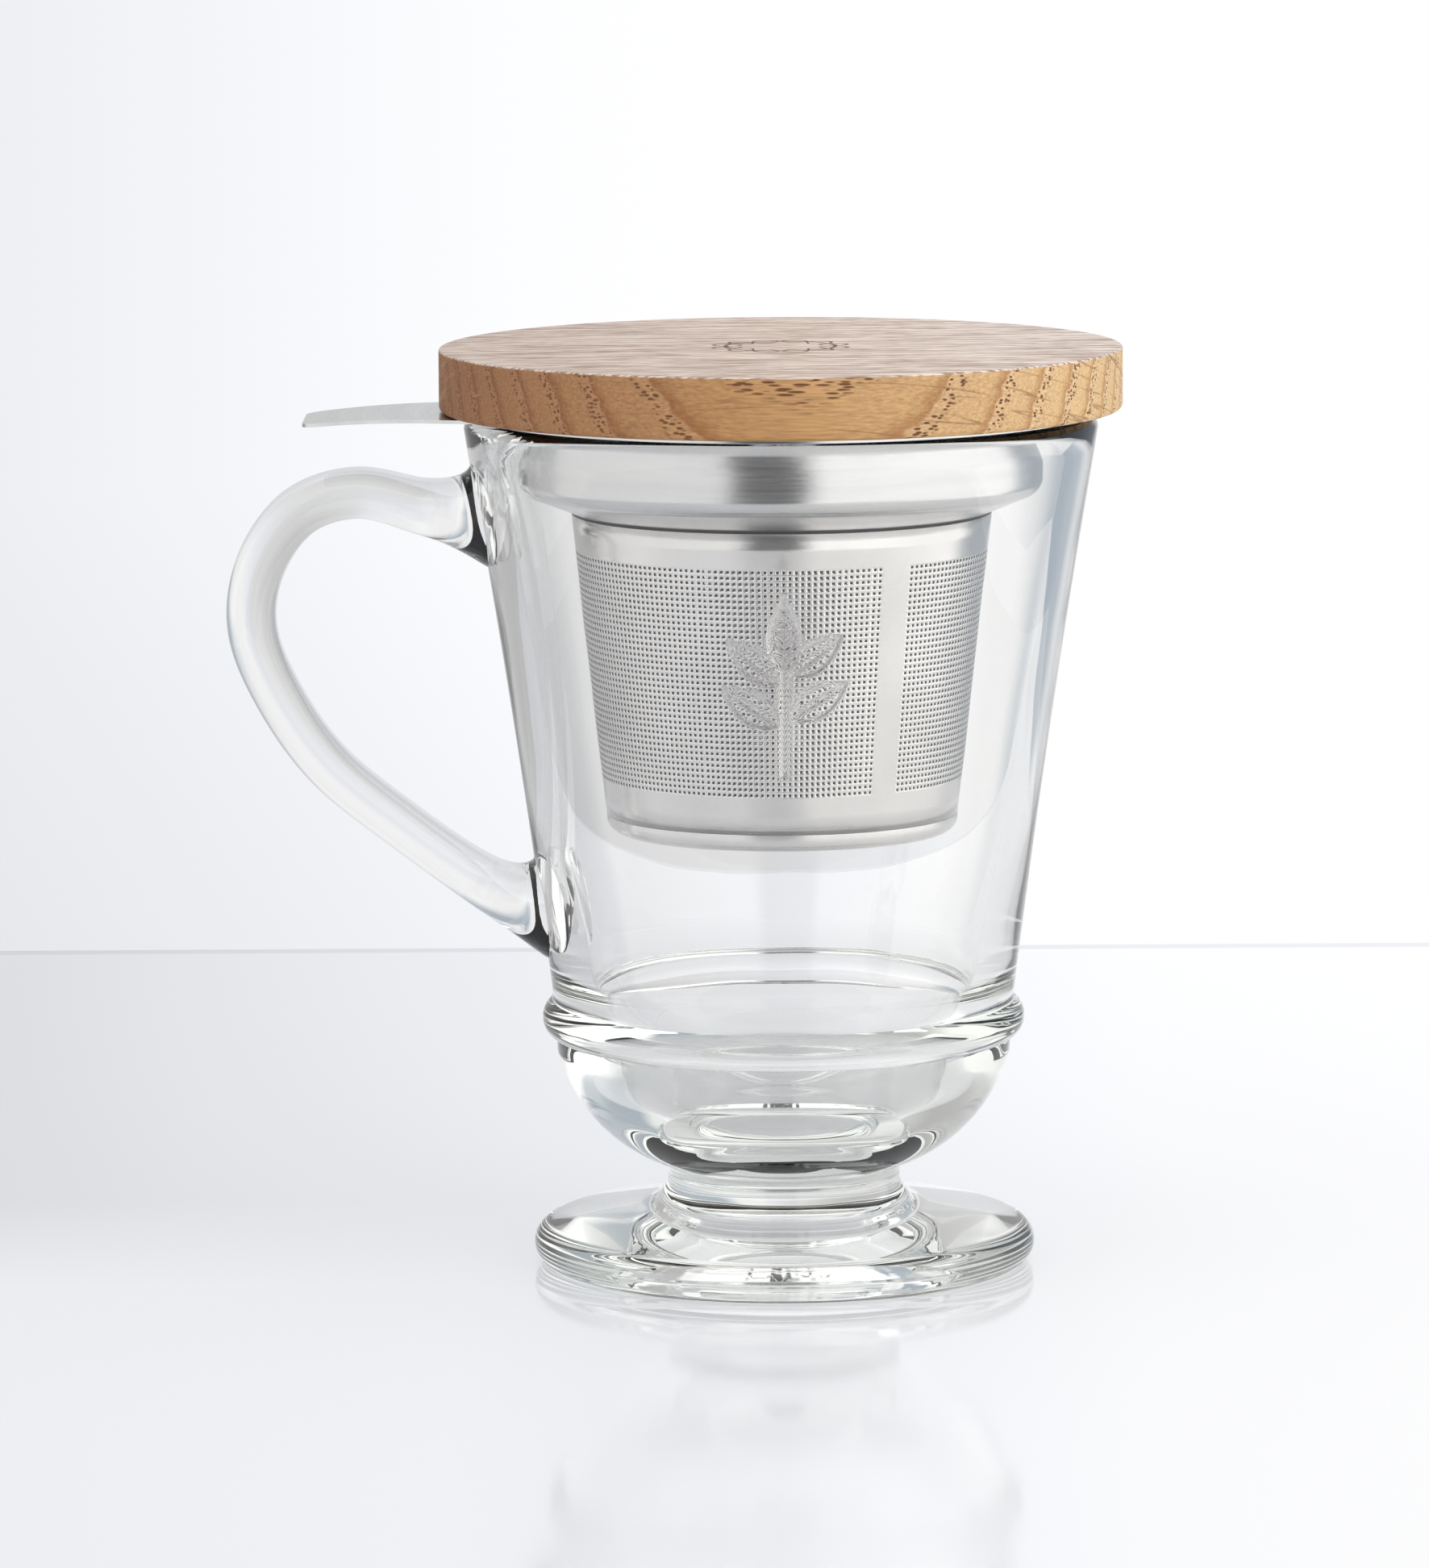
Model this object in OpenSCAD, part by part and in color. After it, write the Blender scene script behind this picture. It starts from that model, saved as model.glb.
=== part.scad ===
// Lidded tea mug with infuser: a pressed-glass footed mug with an ear handle, a drawn steel
// infuser that hangs on the rim by its flange, and a turned oak lid with a soft seal.
// Origin: centre of the foot's underside on the table. +Z up, handle towards -X.

/* [Glass body] */
// Outside diameter at the rim
rim_d = 90; // [86:0.5:100]
// Height of the glass, table to lip
glass_h = 121.9; // [112:0.5:135]
// Outside diameter just above the bead
waist_d = 66.2; // [62:0.2:70]
// Height at which the tapered body starts
waist_z = 40; // [38.5:0.5:44]
// How far the side curves inwards between waist and rim
side_bow = 0.5; // [0:0.1:1.5]
// Glass thickness at the rim
rim_wall = 3.8; // [3:0.1:4.6]
// Glass thickness low in the body
low_wall = 4.9; // [4:0.1:6]
// Height at which the inside turns from the tapered side into the cup
cup_z = 47; // [44:0.5:52]
// Inside diameter at that height
cup_d = 57.2; // [55:0.2:58]
// Height of the inside floor
floor_z = 23.3; // [21:0.1:26]

/* [Bead, bowl and foot] */
// Outside diameter of the bead under the body
bead_d = 69; // [68:0.2:72]
// Radius of the bead's round section
bead_r = 2.9; // [2.2:0.1:3.4]
// Height of the bead's centre
bead_z = 35.6; // [35:0.1:36.4]
// Radius of the round bowl under the bead
bowl_r = 23.2; // [21.5:0.1:24]
// Height of the bowl's centre above the bead's
bowl_rise = 0.9; // [0.6:0.1:1.2]
// Neck diameter
neck_d = 33.2; // [28:0.2:36]
// Height at which the foot's curve reaches the neck
neck_z = 13.2; // [12:0.1:14]
// Radius of the curve between foot and neck
neck_fillet = 5; // [3:0.25:6]
// Foot diameter
foot_d = 71.8; // [66:0.2:80]
// Radius of the foot's outer edge
foot_edge = 3; // [2:0.1:3.5]
// Diameter of the hollow under the foot, at the table
punt_d = 35; // [28:0.5:40]
// Depth of that hollow
punt_h = 7.2; // [4:0.1:9]
// Radius in the hollow's upper corner
punt_fillet = 2.6; // [1.5:0.1:3.5]
// How far the hollow's side leans in
punt_lean = 2.4; // [1.5:0.1:4]
// Width of the bevel round the hollow's edge
punt_bevel = 0.9; // [0.5:0.1:1.4]

/* [Handle] */
// Reach of the handle beyond the glass, at its widest
handle_reach = 38.6; // [32:0.2:44]
// Depth of the upper root's centre below the rim
handle_drop = 14.2; // [12:0.2:20]
// Height of the lower root's centre above the waist
handle_rise = 11.8; // [10:0.2:16]
// Thickness of the grip, seen from the side
grip_t = 7.2; // [5.5:0.1:9]
// Thickness of the lower leg, seen from the side
leg_t = 6.5; // [5:0.1:8]
// Width of the grip, across the hand
grip_w = 12; // [9:0.2:15]
// Height of each root where it meets the glass
root_h = 14.9; // [11:0.2:16]
// Width of each root where it meets the glass
root_w = 15.4; // [12:0.2:18]
// Length over which a root swells out of the handle
root_len = 3.5; // [2.5:0.1:5]

/* [Infuser] */
// Sheet thickness
sheet = 0.5; // [0.4:0.05:0.8]
// Outside diameter of the flange
flange_d = 88.4; // [85:0.2:96]
// Outside diameter of the collar
collar_d = 74.8; // [70:0.2:77]
// Depth of the shoulder's outer corner below the flange
collar_h = 11; // [8:0.2:16]
// Radius between collar and shoulder
shoulder_r = 2.5; // [1.5:0.1:4]
// Radius between flange and collar
bend_r = 1.3; // [0.8:0.1:2]
// Drop of the shoulder from the collar to the basket
shoulder_drop = 2.4; // [1:0.1:4]
// Height of the shoulder's lower edge above the perforated wall
neck_rise = 0.35; // [0.2:0.05:0.6]
// Outside diameter at the top of the perforated wall
basket_top_d = 59.9; // [54:0.2:64]
// Outside diameter at the bottom of the perforated wall
basket_low_d = 50.2; // [44:0.2:56]
// Height of the perforated wall
basket_h = 42.8; // [30:0.2:52]
// Height of the base under the perforated wall
base_h = 2.6; // [2.2:0.1:6]
// Radius of the base's outer corner
base_r = 1.9; // [1:0.1:3]
// Length of the lap behind each end of the perforated wall
lap = 4.3; // [3:0.1:5.2]
// Diameter of a perforation
hole_d = 1.8; // [1.2:0.1:2.2]
// Distance between rows of perforations
hole_pitch = 3.34; // [2.6:0.02:4.5]
// Perforations around the wall, the seam's own place included
hole_columns = 48; // [24:1:60]
// Plain band at each end of the perforated wall
plain_band = 5.4; // [5.3:0.1:8]
// Direction of the wall's plain seam strip, from +X
seam_angle = -55; // [-180:1:180]

/* [Thumb tab] */
// Reach of the tab from the mug's axis
tab_reach = 67.6; // [62:0.2:72]
// Half width of the tab at the flange
tab_root = 15; // [12:0.25:17]
// Half width of the tab at its tip
tab_tip = 8.7; // [6:0.1:11]
// Radius of the tab's corners
tab_corner = 3; // [1.5:0.1:5]
// Radius between the tab and the flange
tab_fillet = 6; // [3:0.25:9]
// Drop of the tab's tip
tab_droop = 1; // [0:0.1:1.5]
// Length over which the tab droops
tab_bend = 18; // [8:0.5:22]

/* [Lid] */
// Diameter of the oak disc
lid_d = 96.9; // [90:0.1:110]
// Thickness of the disc
lid_t = 8.8; // [7:0.1:14]
// Radius of the disc's edges
arris = 0.8; // [0.4:0.1:1.5]
// Depth of the spigot under the disc
spigot_h = 4.4; // [4:0.1:8]
// Width of the ring between spigot and collar that the seal fills
seal_ring = 3.2; // [2.5:0.1:5]
// Height of the seal
seal_h = 2.2; // [1.6:0.1:2.6]
// Height of the spigot's edge under the seal
spigot_lip = 1.1; // [0.8:0.1:1.4]
// Gap between the spigot's edges and the collar
spigot_gap = 1.2; // [0.6:0.1:1.8]

/* [Fits] */
// Gap between the flange and the rim it rests on, and between lid and flange
seat_gap = 0.15; // [0.05:0.05:0.3]
// Gap between lapped sheets
weld_gap = 0.05; // [0.03:0.01:0.1]
// Gap between the seal's lips and the collar
seal_gap = 0.2; // [0.1:0.05:0.5]

/* [Hidden] */
$fn = 96;

rim_r = rim_d / 2;
lip_z = glass_h - rim_wall / 2;
waist_r = waist_d / 2;
neck_r = neck_d / 2;
foot_r = foot_d / 2;
punt_r = punt_d / 2;
bead_x = bead_d / 2 - bead_r;
flange_z = glass_h + seat_gap;
flange_r = flange_d / 2;
collar_r = collar_d / 2;
wall_top_z = flange_z - collar_h - shoulder_drop - neck_rise;
wall_low_z = wall_top_z - basket_h;
base_z = wall_low_z - base_h;
lid_z = flange_z + sheet + seat_gap;
flat_r = flange_r - 3 * sheet;
eps = 0.01;
steps = 5; // points from one knot of a spline to the next

// ---- points and curves ----

// Points of an arc about centre c, from angle a0 to a1
function arc(c, r, a0, a1, n = 6) =
    [for (i = [0 : n]) c + r * [cos(a0 + (a1 - a0) * i / n), sin(a0 + (a1 - a0) * i / n)]];

function unit(v) = v / norm(v);

// Direction of a path at point i, averaged over its two sides
function heading(p, i) =
    unit(i == 0 ? p[1] - p[0]
        : i == len(p) - 1 ? p[i] - p[i - 1]
        : unit(p[i + 1] - p[i]) + unit(p[i] - p[i - 1]));

// Stretch of the offset at a bend, which keeps the sheet's thickness there
function miter(p, i) =
    i == 0 || i == len(p) - 1 ? 1 : 1 / max(0.5, heading(p, i) * unit(p[i + 1] - p[i]));

// Closed outline of a sheet: the path is its outer face, t its thickness to the path's right
function sheet_outline(p, t) =
    concat(p, [for (i = [len(p) - 1 : -1 : 0])
        p[i] + t * miter(p, i) * [heading(p, i)[1], -heading(p, i)[0]]]);

// Catmull-Rom point between p[i] and p[i + 1]
function spline(p, i, t) =
    let (a = p[max(i - 1, 0)], b = p[i], c = p[i + 1], d = p[min(i + 2, len(p) - 1)])
    0.5 * (2 * b + (c - a) * t + (2 * a - 5 * b + 4 * c - d) * t * t
        + (3 * b - a - 3 * c + d) * t * t * t);

// Corner i of polygon p rounded to radius r
function rounded(p, i, r) =
    let (n = len(p), a = unit(p[(i + n - 1) % n] - p[i]), b = unit(p[(i + 1) % n] - p[i]),
        half = acos(a * b) / 2, reach = r / tan(half), c = p[i] + unit(a + b) * r / sin(half),
        s = p[i] + a * reach - c, e = p[i] + b * reach - c,
        a0 = atan2(s[1], s[0]), turn = atan2(s[0] * e[1] - s[1] * e[0], s * e))
    arc(c, r, a0, a0 + turn);

// ---- glass mug ----

// Outer radius of the tapered body at height z
function body_r(z) =
    let (t = (z - waist_z) / (lip_z - waist_z))
    waist_r + (rim_r - waist_r) * t - 4 * side_bow * t * (1 - t);

// Inner radius of the tapered body at height z
function bore_r(z) =
    let (t = (z - waist_z) / (lip_z - waist_z))
    body_r(z) - low_wall - (rim_wall - low_wall) * t;

// Outer profile: foot, neck, bowl, bead, tapered body and lip
function mug_outline() =
    let (body_n = 8, bowl_c = [waist_r - bowl_r, bead_z + bowl_rise],
        low_a = -acos((neck_r - bowl_c[0]) / bowl_r), top_a = -14,
        toe_c = [neck_r + neck_fillet, neck_z])
    concat(
        [[0, 0]],
        arc([foot_r - foot_edge, foot_edge], foot_edge, -90, 82, 12),
        arc(toe_c, neck_fillet, 259, 180, 8),
        arc(bowl_c, bowl_r, low_a, top_a, 12),
        arc([bead_x, bead_z], bead_r, -72, 58, 12),
        [for (i = [0 : body_n]) let (z = waist_z + (lip_z - waist_z) * i / body_n) [body_r(z), z]],
        arc([rim_r - rim_wall / 2, lip_z], rim_wall / 2, 12, 90, 8),
        [[0, glass_h]]);

// The cup in the bowl, from the middle of its floor to its top: share of the cup's radius,
// share of its height. A nearly flat floor turns up into a side that leans out all the way.
cup_shape = [
    [0, 0], [0.21, 0.004], [0.378, 0.021], [0.545, 0.063], [0.727, 0.198], [0.881, 0.451],
    [0.958, 0.747], [1, 1]];

// Drink space: cup, tapered side and the lip's inner half
function bore_outline() =
    let (knots = concat(
        [for (s = cup_shape) [cup_d / 2 * s[0], floor_z + (cup_z - floor_z) * s[1]]],
        [for (t = [0.275, 0.625]) let (z = waist_z + (lip_z - waist_z) * t) [bore_r(z), z]],
        [[rim_r - rim_wall, lip_z]]))
    concat(
        [for (i = [0 : len(knots) - 2], k = [0 : steps - 1]) spline(knots, i, k / steps)],
        arc([rim_r - rim_wall / 2, lip_z], rim_wall / 2, 180, 90, 8),
        [[rim_r - rim_wall / 2, glass_h + 1], [0, glass_h + 1]]);

// Hollow under the foot, with a round upper corner and a slightly domed ceiling
function punt_outline() =
    let (side = punt_r - punt_lean, dome = punt_h * 0.08,
        c = [side - punt_fillet, punt_h - dome - punt_fillet])
    concat([[0, -foot_edge], [punt_r, -foot_edge], [punt_r, 0], [punt_r - punt_bevel, punt_bevel * 0.8]],
        arc(c, punt_fillet, 12, 88, 6), [[side * 0.45, punt_h - dome * 0.2], [0, punt_h]]);

// The handle's centre line: share of the reach outside the glass, share of the height between
// its roots. It leaves the glass level, arches over, and comes back down in a long slope.
handle_shape = [
    [0.01, 1.00], [0.22, 1.023], [0.478, 1.059], [0.73, 1.011], [0.922, 0.876], [1.00, 0.71],
    [0.932, 0.531], [0.777, 0.359], [0.516, 0.206], [0.224, 0.062], [0.02, -0.002]];

root_top_z = glass_h - handle_drop;
root_low_z = waist_z + handle_rise;

// Centre line point for a place [share of reach, share of height]
function handle_point(s) =
    let (z = root_low_z + (root_top_z - root_low_z) * s[1])
    [-body_r(z) - (handle_reach - grip_t / 2) * s[0], z];

// Ends inside the glass, level with the roots
handle_knots = concat(
    [[-body_r(root_top_z) + rim_wall * 0.55, root_top_z - rim_wall * 0.05]],
    [for (s = handle_shape) handle_point(s)],
    [[-body_r(root_low_z) + low_wall * 0.5, root_low_z - low_wall * 0.14]]);
handle_line = concat(
    [for (i = [0 : len(handle_knots) - 2], k = [0 : steps - 1]) spline(handle_knots, i, k / steps)],
    [handle_knots[len(handle_knots) - 1]]);

// How much of the root's swelling is left at a point, from 1 at the glass to 0
function swell(p) = exp(-max(0, -p[0] - body_r(p[1])) / root_len);

// Direction across the handle: along the glass at the roots, square to the line elsewhere
function across(i) =
    let (p = handle_line[i], h = heading(handle_line, i), w = swell(p),
        slope = body_r(p[1] + 0.5) - body_r(p[1] - 0.5), square = [h[1], -h[0]],
        glass = (square[1] < 0 ? -1 : 1) * unit([-slope, 1]))
    unit(w * glass + (1 - w) * square);

// Superellipse, fuller than an ellipse
function oval(a) = [sign(cos(a)) * pow(abs(cos(a)), 0.85), sign(sin(a)) * pow(abs(sin(a)), 0.85)];

module handle() {
    sides = 24;
    n = len(handle_line);
    rings = [for (i = [0 : n - 1])
        let (p = handle_line[i], u = across(i), w = swell(p), s = i / (n - 1),
            plain = grip_t + (leg_t - grip_t) * min(1, max(0, 2 * s - 0.8)),
            t = plain + (root_h - plain) * w, d = grip_w + (root_w - grip_w) * w)
        [for (k = [0 : sides - 1]) let (q = oval(360 * k / sides))
            [p[0] + u[0] * t / 2 * q[0], d / 2 * q[1], p[1] + u[1] * t / 2 * q[0]]]];
    points = [for (r = rings) each r];
    cap_a = [for (k = [0 : sides - 1]) k];
    cap_b = [for (k = [sides - 1 : -1 : 0]) (n - 1) * sides + k];
    skin = [for (i = [0 : n - 2], k = [0 : sides - 1])
        let (a = i * sides + k, b = i * sides + (k + 1) % sides)
        each [[a, a + sides, b + sides], [a, b + sides, b]]];
    polyhedron(points = points, faces = concat([cap_a], skin, [cap_b]));
}

module glass_mug() {
    color([0.88, 0.92, 0.9, 0.4])
        difference() {
            union() {
                rotate_extrude() polygon(mug_outline());
                handle();
            }
            rotate_extrude() polygon(bore_outline());
            rotate_extrude() polygon(punt_outline());
        }
}

// ---- infuser ----

// Outside radius of the basket's cone at height z
function basket_r(z) =
    (basket_low_d + (basket_top_d - basket_low_d) * (z - wall_low_z) / basket_h) / 2;

// Outside radius of a sheet that laps behind the wall
function lap_r(z) = basket_r(z) - sheet - weld_gap;

// Outer face of the collar: flange, bend, straight collar, shoulder and the lap behind the wall
function collar_path() =
    let (corner_z = flange_z - collar_h, neck_top = wall_top_z + neck_rise,
        slope = atan2(corner_z - neck_top, collar_r - basket_r(neck_top)))
    concat(
        [[flat_r, flange_z]],
        arc([collar_r + bend_r, flange_z - bend_r], bend_r, 90, 180, 6),
        arc([collar_r - shoulder_r, corner_z + shoulder_r], shoulder_r, 0, slope - 90, 7),
        [[basket_r(neck_top) + neck_rise * 0.6, neck_top + neck_rise * 0.3], [lap_r(wall_top_z), wall_top_z],
            [lap_r(wall_top_z - lap), wall_top_z - lap]]);

// Plan of the tab, from inside the flange to the tip
module tab_plan() {
    root = [-sqrt(flange_r * flange_r - tab_root * tab_root), tab_root];
    ring_a = atan2(root[1], root[0]) - 9;
    inside = (flange_r - 2 * sheet) * [cos(ring_a), sin(ring_a)];
    half = [[-flat_r + sheet, 0], inside, root, [-tab_reach, tab_tip], [-tab_reach, 0]];
    upper = concat([half[0], half[1]], rounded(half, 2, tab_fillet),
        rounded(half, 3, tab_corner), [half[4]]);
    polygon(upper);
    mirror([0, 1]) polygon(upper);
}

// Side view of the flange's sheet, level and then drooping towards the tab's tip
module tab_side() {
    start = -tab_reach + tab_bend;
    fall = [for (i = [0 : 6]) [start - tab_bend * i / 5, -tab_droop * pow(i / 5, 2)]];
    polygon(concat([[0, 0]], fall, [for (i = [6 : -1 : 0]) fall[i] + [0, sheet]], [[0, sheet]]));
}

module infuser_collar() {
    color("silver") {
        rotate_extrude() polygon(sheet_outline(collar_path(), sheet));
        translate([0, 0, flange_z])
            difference() {
                union() {
                    cylinder(r = flange_r, h = sheet);
                    intersection() {
                        translate([0, 0, -tab_bend]) linear_extrude(2 * tab_bend) tab_plan();
                        translate([0, flange_r, 0]) rotate([90, 0, 0])
                            linear_extrude(2 * flange_r) tab_side();
                    }
                }
                translate([0, 0, -sheet]) cylinder(r = flat_r - sheet, h = 3 * sheet);
            }
    }
}

// One row of perforations, square to the sheet; the seam's own place stays plain
module hole_row(z) {
    lean = atan2((basket_top_d - basket_low_d) / 2, basket_h);
    for (i = [1 : hole_columns - 1])
        rotate([0, 0, seam_angle + 360 * i / hole_columns])
            translate([basket_r(z), 0, z])
                rotate([0, 90 + lean, 0])
                    translate([0, 0, -6 * sheet]) cylinder(d = hole_d, h = 10 * sheet, $fn = 24);
}

// Tapered wall, with one narrow flat for each column of perforations
module infuser_wall() {
    first = plain_band + hole_d / 2;
    rows = floor((basket_h - 2 * first) / hole_pitch + eps);
    start_z = wall_low_z + (basket_h - rows * hole_pitch) / 2;
    ridge = 1 / cos(180 / hole_columns);
    section = [[basket_r(wall_low_z), wall_low_z], [basket_r(wall_top_z), wall_top_z],
        [basket_r(wall_top_z) - sheet, wall_top_z], [basket_r(wall_low_z) - sheet, wall_low_z]];
    points = [for (i = [0 : hole_columns - 1], s = section)
        let (a = seam_angle + 360 * (i + 0.5) / hole_columns)
        [s[0] * ridge * cos(a), s[0] * ridge * sin(a), s[1]]];
    faces = [for (i = [0 : hole_columns - 1], k = [0 : 3])
        let (j = (i + 1) % hole_columns, m = (k + 1) % 4)
        [4 * i + k, 4 * i + m, 4 * j + m, 4 * j + k]];
    color("gainsboro")
        difference() {
            polyhedron(points, faces);
            for (j = [0 : rows]) hole_row(start_z + j * hole_pitch);
        }
}

module infuser_base() {
    edge_r = basket_r(wall_low_z);
    joggle = sheet + weld_gap;
    corner = min(base_r, base_h - joggle);
    field_r = edge_r - base_r - 6 * sheet;
    reach = floor(field_r / hole_pitch);
    path = concat(
        [[lap_r(wall_low_z + lap), wall_low_z + lap], [lap_r(wall_low_z), wall_low_z],
            [edge_r, wall_low_z - joggle * 0.6]],
        arc([edge_r - corner, base_z + corner], corner, 0, -90, 6), [[0, base_z]]);
    color("silver")
        difference() {
            rotate_extrude() polygon(sheet_outline(path, sheet));
            for (i = [-reach : reach], j = [-reach : reach])
                if (norm([i, j]) * hole_pitch < field_r)
                    translate([i * hole_pitch, j * hole_pitch, base_z - sheet])
                        cylinder(d = hole_d, h = 3 * sheet, $fn = 24);
        }
}

// ---- lid ----

spigot_r = collar_r - sheet - seal_ring;
groove_z = lid_z - spigot_h + spigot_lip;

// Oak disc with eased edges, and a spigot under it with a groove for the seal
module lid_board() {
    lid_r = lid_d / 2;
    groove = seal_h + 2 * weld_gap;
    edge_r = spigot_r + seal_ring - spigot_gap;
    bevel = spigot_lip * 0.45;
    color("burlywood")
        rotate_extrude()
            polygon(concat(
                [[0, lid_z - spigot_h]],
                [[edge_r - bevel, lid_z - spigot_h], [edge_r, lid_z - spigot_h + bevel]],
                [[edge_r, groove_z], [spigot_r, groove_z], [spigot_r, groove_z + groove]],
                [[edge_r, groove_z + groove], [edge_r, lid_z]],
                arc([lid_r - arris, lid_z + arris], arris, -90, 0, 5),
                arc([lid_r - arris, lid_z + lid_t - arris], arris, 0, 90, 5),
                [[0, lid_z + lid_t]]));
}

// Soft ring in the spigot's groove, with two lips that reach towards the collar
module lid_seal() {
    inner = spigot_r + weld_gap;
    outer = spigot_r + seal_ring - seal_gap;
    z0 = groove_z + weld_gap;
    lip = seal_h * 0.32;
    web = outer - seal_h * 0.4;
    tip = outer - seal_h * 0.14;
    color("whitesmoke")
        rotate_extrude()
            polygon([
                [inner, z0], [tip, z0], [outer, z0 + lip / 2], [web, z0 + lip],
                [web, z0 + seal_h - lip], [outer, z0 + seal_h - lip / 2],
                [tip, z0 + seal_h], [inner, z0 + seal_h]]);
}

glass_mug();
infuser_collar();
infuser_wall();
infuser_base();
lid_board();
lid_seal();
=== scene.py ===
import math

import bmesh
import bpy
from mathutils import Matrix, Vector


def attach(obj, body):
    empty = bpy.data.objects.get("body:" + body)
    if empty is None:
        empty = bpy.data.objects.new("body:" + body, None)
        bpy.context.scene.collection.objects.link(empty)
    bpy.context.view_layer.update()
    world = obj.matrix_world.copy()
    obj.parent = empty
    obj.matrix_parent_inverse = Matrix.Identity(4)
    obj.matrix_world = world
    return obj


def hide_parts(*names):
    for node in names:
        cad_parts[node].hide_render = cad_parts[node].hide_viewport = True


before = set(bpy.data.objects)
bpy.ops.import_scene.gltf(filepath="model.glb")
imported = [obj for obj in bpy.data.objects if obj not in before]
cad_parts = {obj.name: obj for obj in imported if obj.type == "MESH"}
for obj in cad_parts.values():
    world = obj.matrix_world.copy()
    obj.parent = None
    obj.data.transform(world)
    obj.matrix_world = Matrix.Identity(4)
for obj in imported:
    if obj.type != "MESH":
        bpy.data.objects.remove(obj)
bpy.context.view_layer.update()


# ---------------------------------------------------------------------------------------------
# Glass mug. One piece of clear soda-lime glass, pressed in a mould with its foot, bead and leaf
# sprig; the ear handle is stuck on hot, so its two pads run into the wall. Lengths are in mm.

MM = 0.001
RIM_R, GLASS_H = 45.0, 121.9
RIM_WALL, LOW_WALL = 3.8, 4.9
LIP_Z = GLASS_H - RIM_WALL / 2
WAIST_R, WAIST_Z = 33.1, 40.0
SIDE_BOW = 0.5
CUP = [(28.6, 47.0), (27.4, 41.0), (25.2, 34.0), (20.8, 28.0), (15.6, 24.8), (10.8, 23.8), (6.0, 23.4)]
FLOOR_Z = 23.3


def arc(centre, radius, start, end, steps):
    """Points (r, z) of an arc about centre, angles in degrees."""
    turn = [math.radians(start + (end - start) * i / steps) for i in range(steps + 1)]
    return [(centre[0] + radius * math.cos(a), centre[1] + radius * math.sin(a)) for a in turn]


def line(a, b, steps):
    """Points from a towards b, b itself left out."""
    return [(a[0] + (b[0] - a[0]) * i / steps, a[1] + (b[1] - a[1]) * i / steps)
            for i in range(steps)]


def body_r(z):
    t = (z - WAIST_Z) / (LIP_Z - WAIST_Z)
    return WAIST_R + (RIM_R - WAIST_R) * t - 4 * SIDE_BOW * t * (1 - t)


def bore_r(z):
    t = (z - WAIST_Z) / (LIP_Z - WAIST_Z)
    return body_r(z) - LOW_WALL - (RIM_WALL - LOW_WALL) * t


SPRIG_Z, SPRIG_HIGH = 87.8, 1.25
SPRIG_LEAVES = [  # foot of the leaf across and up from the sprig's middle, lean, length, width
    ((0.6, 1.6), 52, 9.6, 4.3), ((-0.6, 0.6), -50, 9.4, 4.3),
    ((0.6, -4.4), 58, 9.8, 4.6), ((-0.6, -5.4), -56, 9.6, 4.6),
]
BUD = (1.6, 11.4, 4.9)  # foot, length, width
STEM_LOW, STEM_HIGH, STEM_W = -12.8, 3.4, 1.3


def leaf_axes(foot, lean, u, v):
    """Place of (u, v) along and across a leaf that leans from upright by lean degrees."""
    a = math.radians(lean)
    du, dv = u - foot[0], v - foot[1]
    return du * math.sin(a) + dv * math.cos(a), du * math.cos(a) - dv * math.sin(a)


def leaf_half(s, length, width):
    """Half width of a leaf at s along it, fullest a little below its middle."""
    if not 0 < s < length:
        return 0.0
    return width / 2 * math.sin(math.pi * (s / length) ** 0.85) ** 0.9


def sprig_height(u, v):
    """Height of the pressed sprig, in mm, at u across and v up from its middle. The leaves are
    flat with a steep edge and a raised rib, the bud and the stem are round."""
    high = 0.0
    for foot, lean, length, width in SPRIG_LEAVES:
        s, t = leaf_axes(foot, lean, u, v)
        half = leaf_half(s, length, width)
        if abs(t) < half:
            step = min(1.0, (half - abs(t)) / 0.5) ** 0.6
            rib = 0.35 * math.exp(-((t / 0.28) ** 2)) * math.sin(math.pi * s / length)
            high = max(high, 0.62 * step + rib)
    s = v - BUD[0]
    half = leaf_half(s, BUD[1], BUD[2])
    if abs(u) < half:
        crown = math.sqrt(1 - (u / half) ** 2) * math.sin(math.pi * s / BUD[1]) ** 0.35
        folds = 0.07 * math.cos(2 * math.pi * (s - 0.7 * abs(u)) / 1.7)
        high = max(high, SPRIG_HIGH * crown * (1 + folds))
    if STEM_LOW < v < STEM_HIGH and abs(u) < STEM_W / 2:
        end = min(1.0, (v - STEM_LOW) / 0.7)
        high = max(high, 0.85 * end * math.sqrt(1 - (2 * u / STEM_W) ** 2))
    return high


def spline(p, i, t):
    """Catmull-Rom point between p[i] and p[i + 1]."""
    a, b, c, d = (Vector(p[max(0, min(len(p) - 1, k))]) for k in (i - 1, i, i + 1, i + 2))
    return 0.5 * (2 * b + (c - a) * t + (2 * a - 5 * b + 4 * c - d) * t * t
                  + (3 * b - a - 3 * c + d) * t * t * t)


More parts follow.
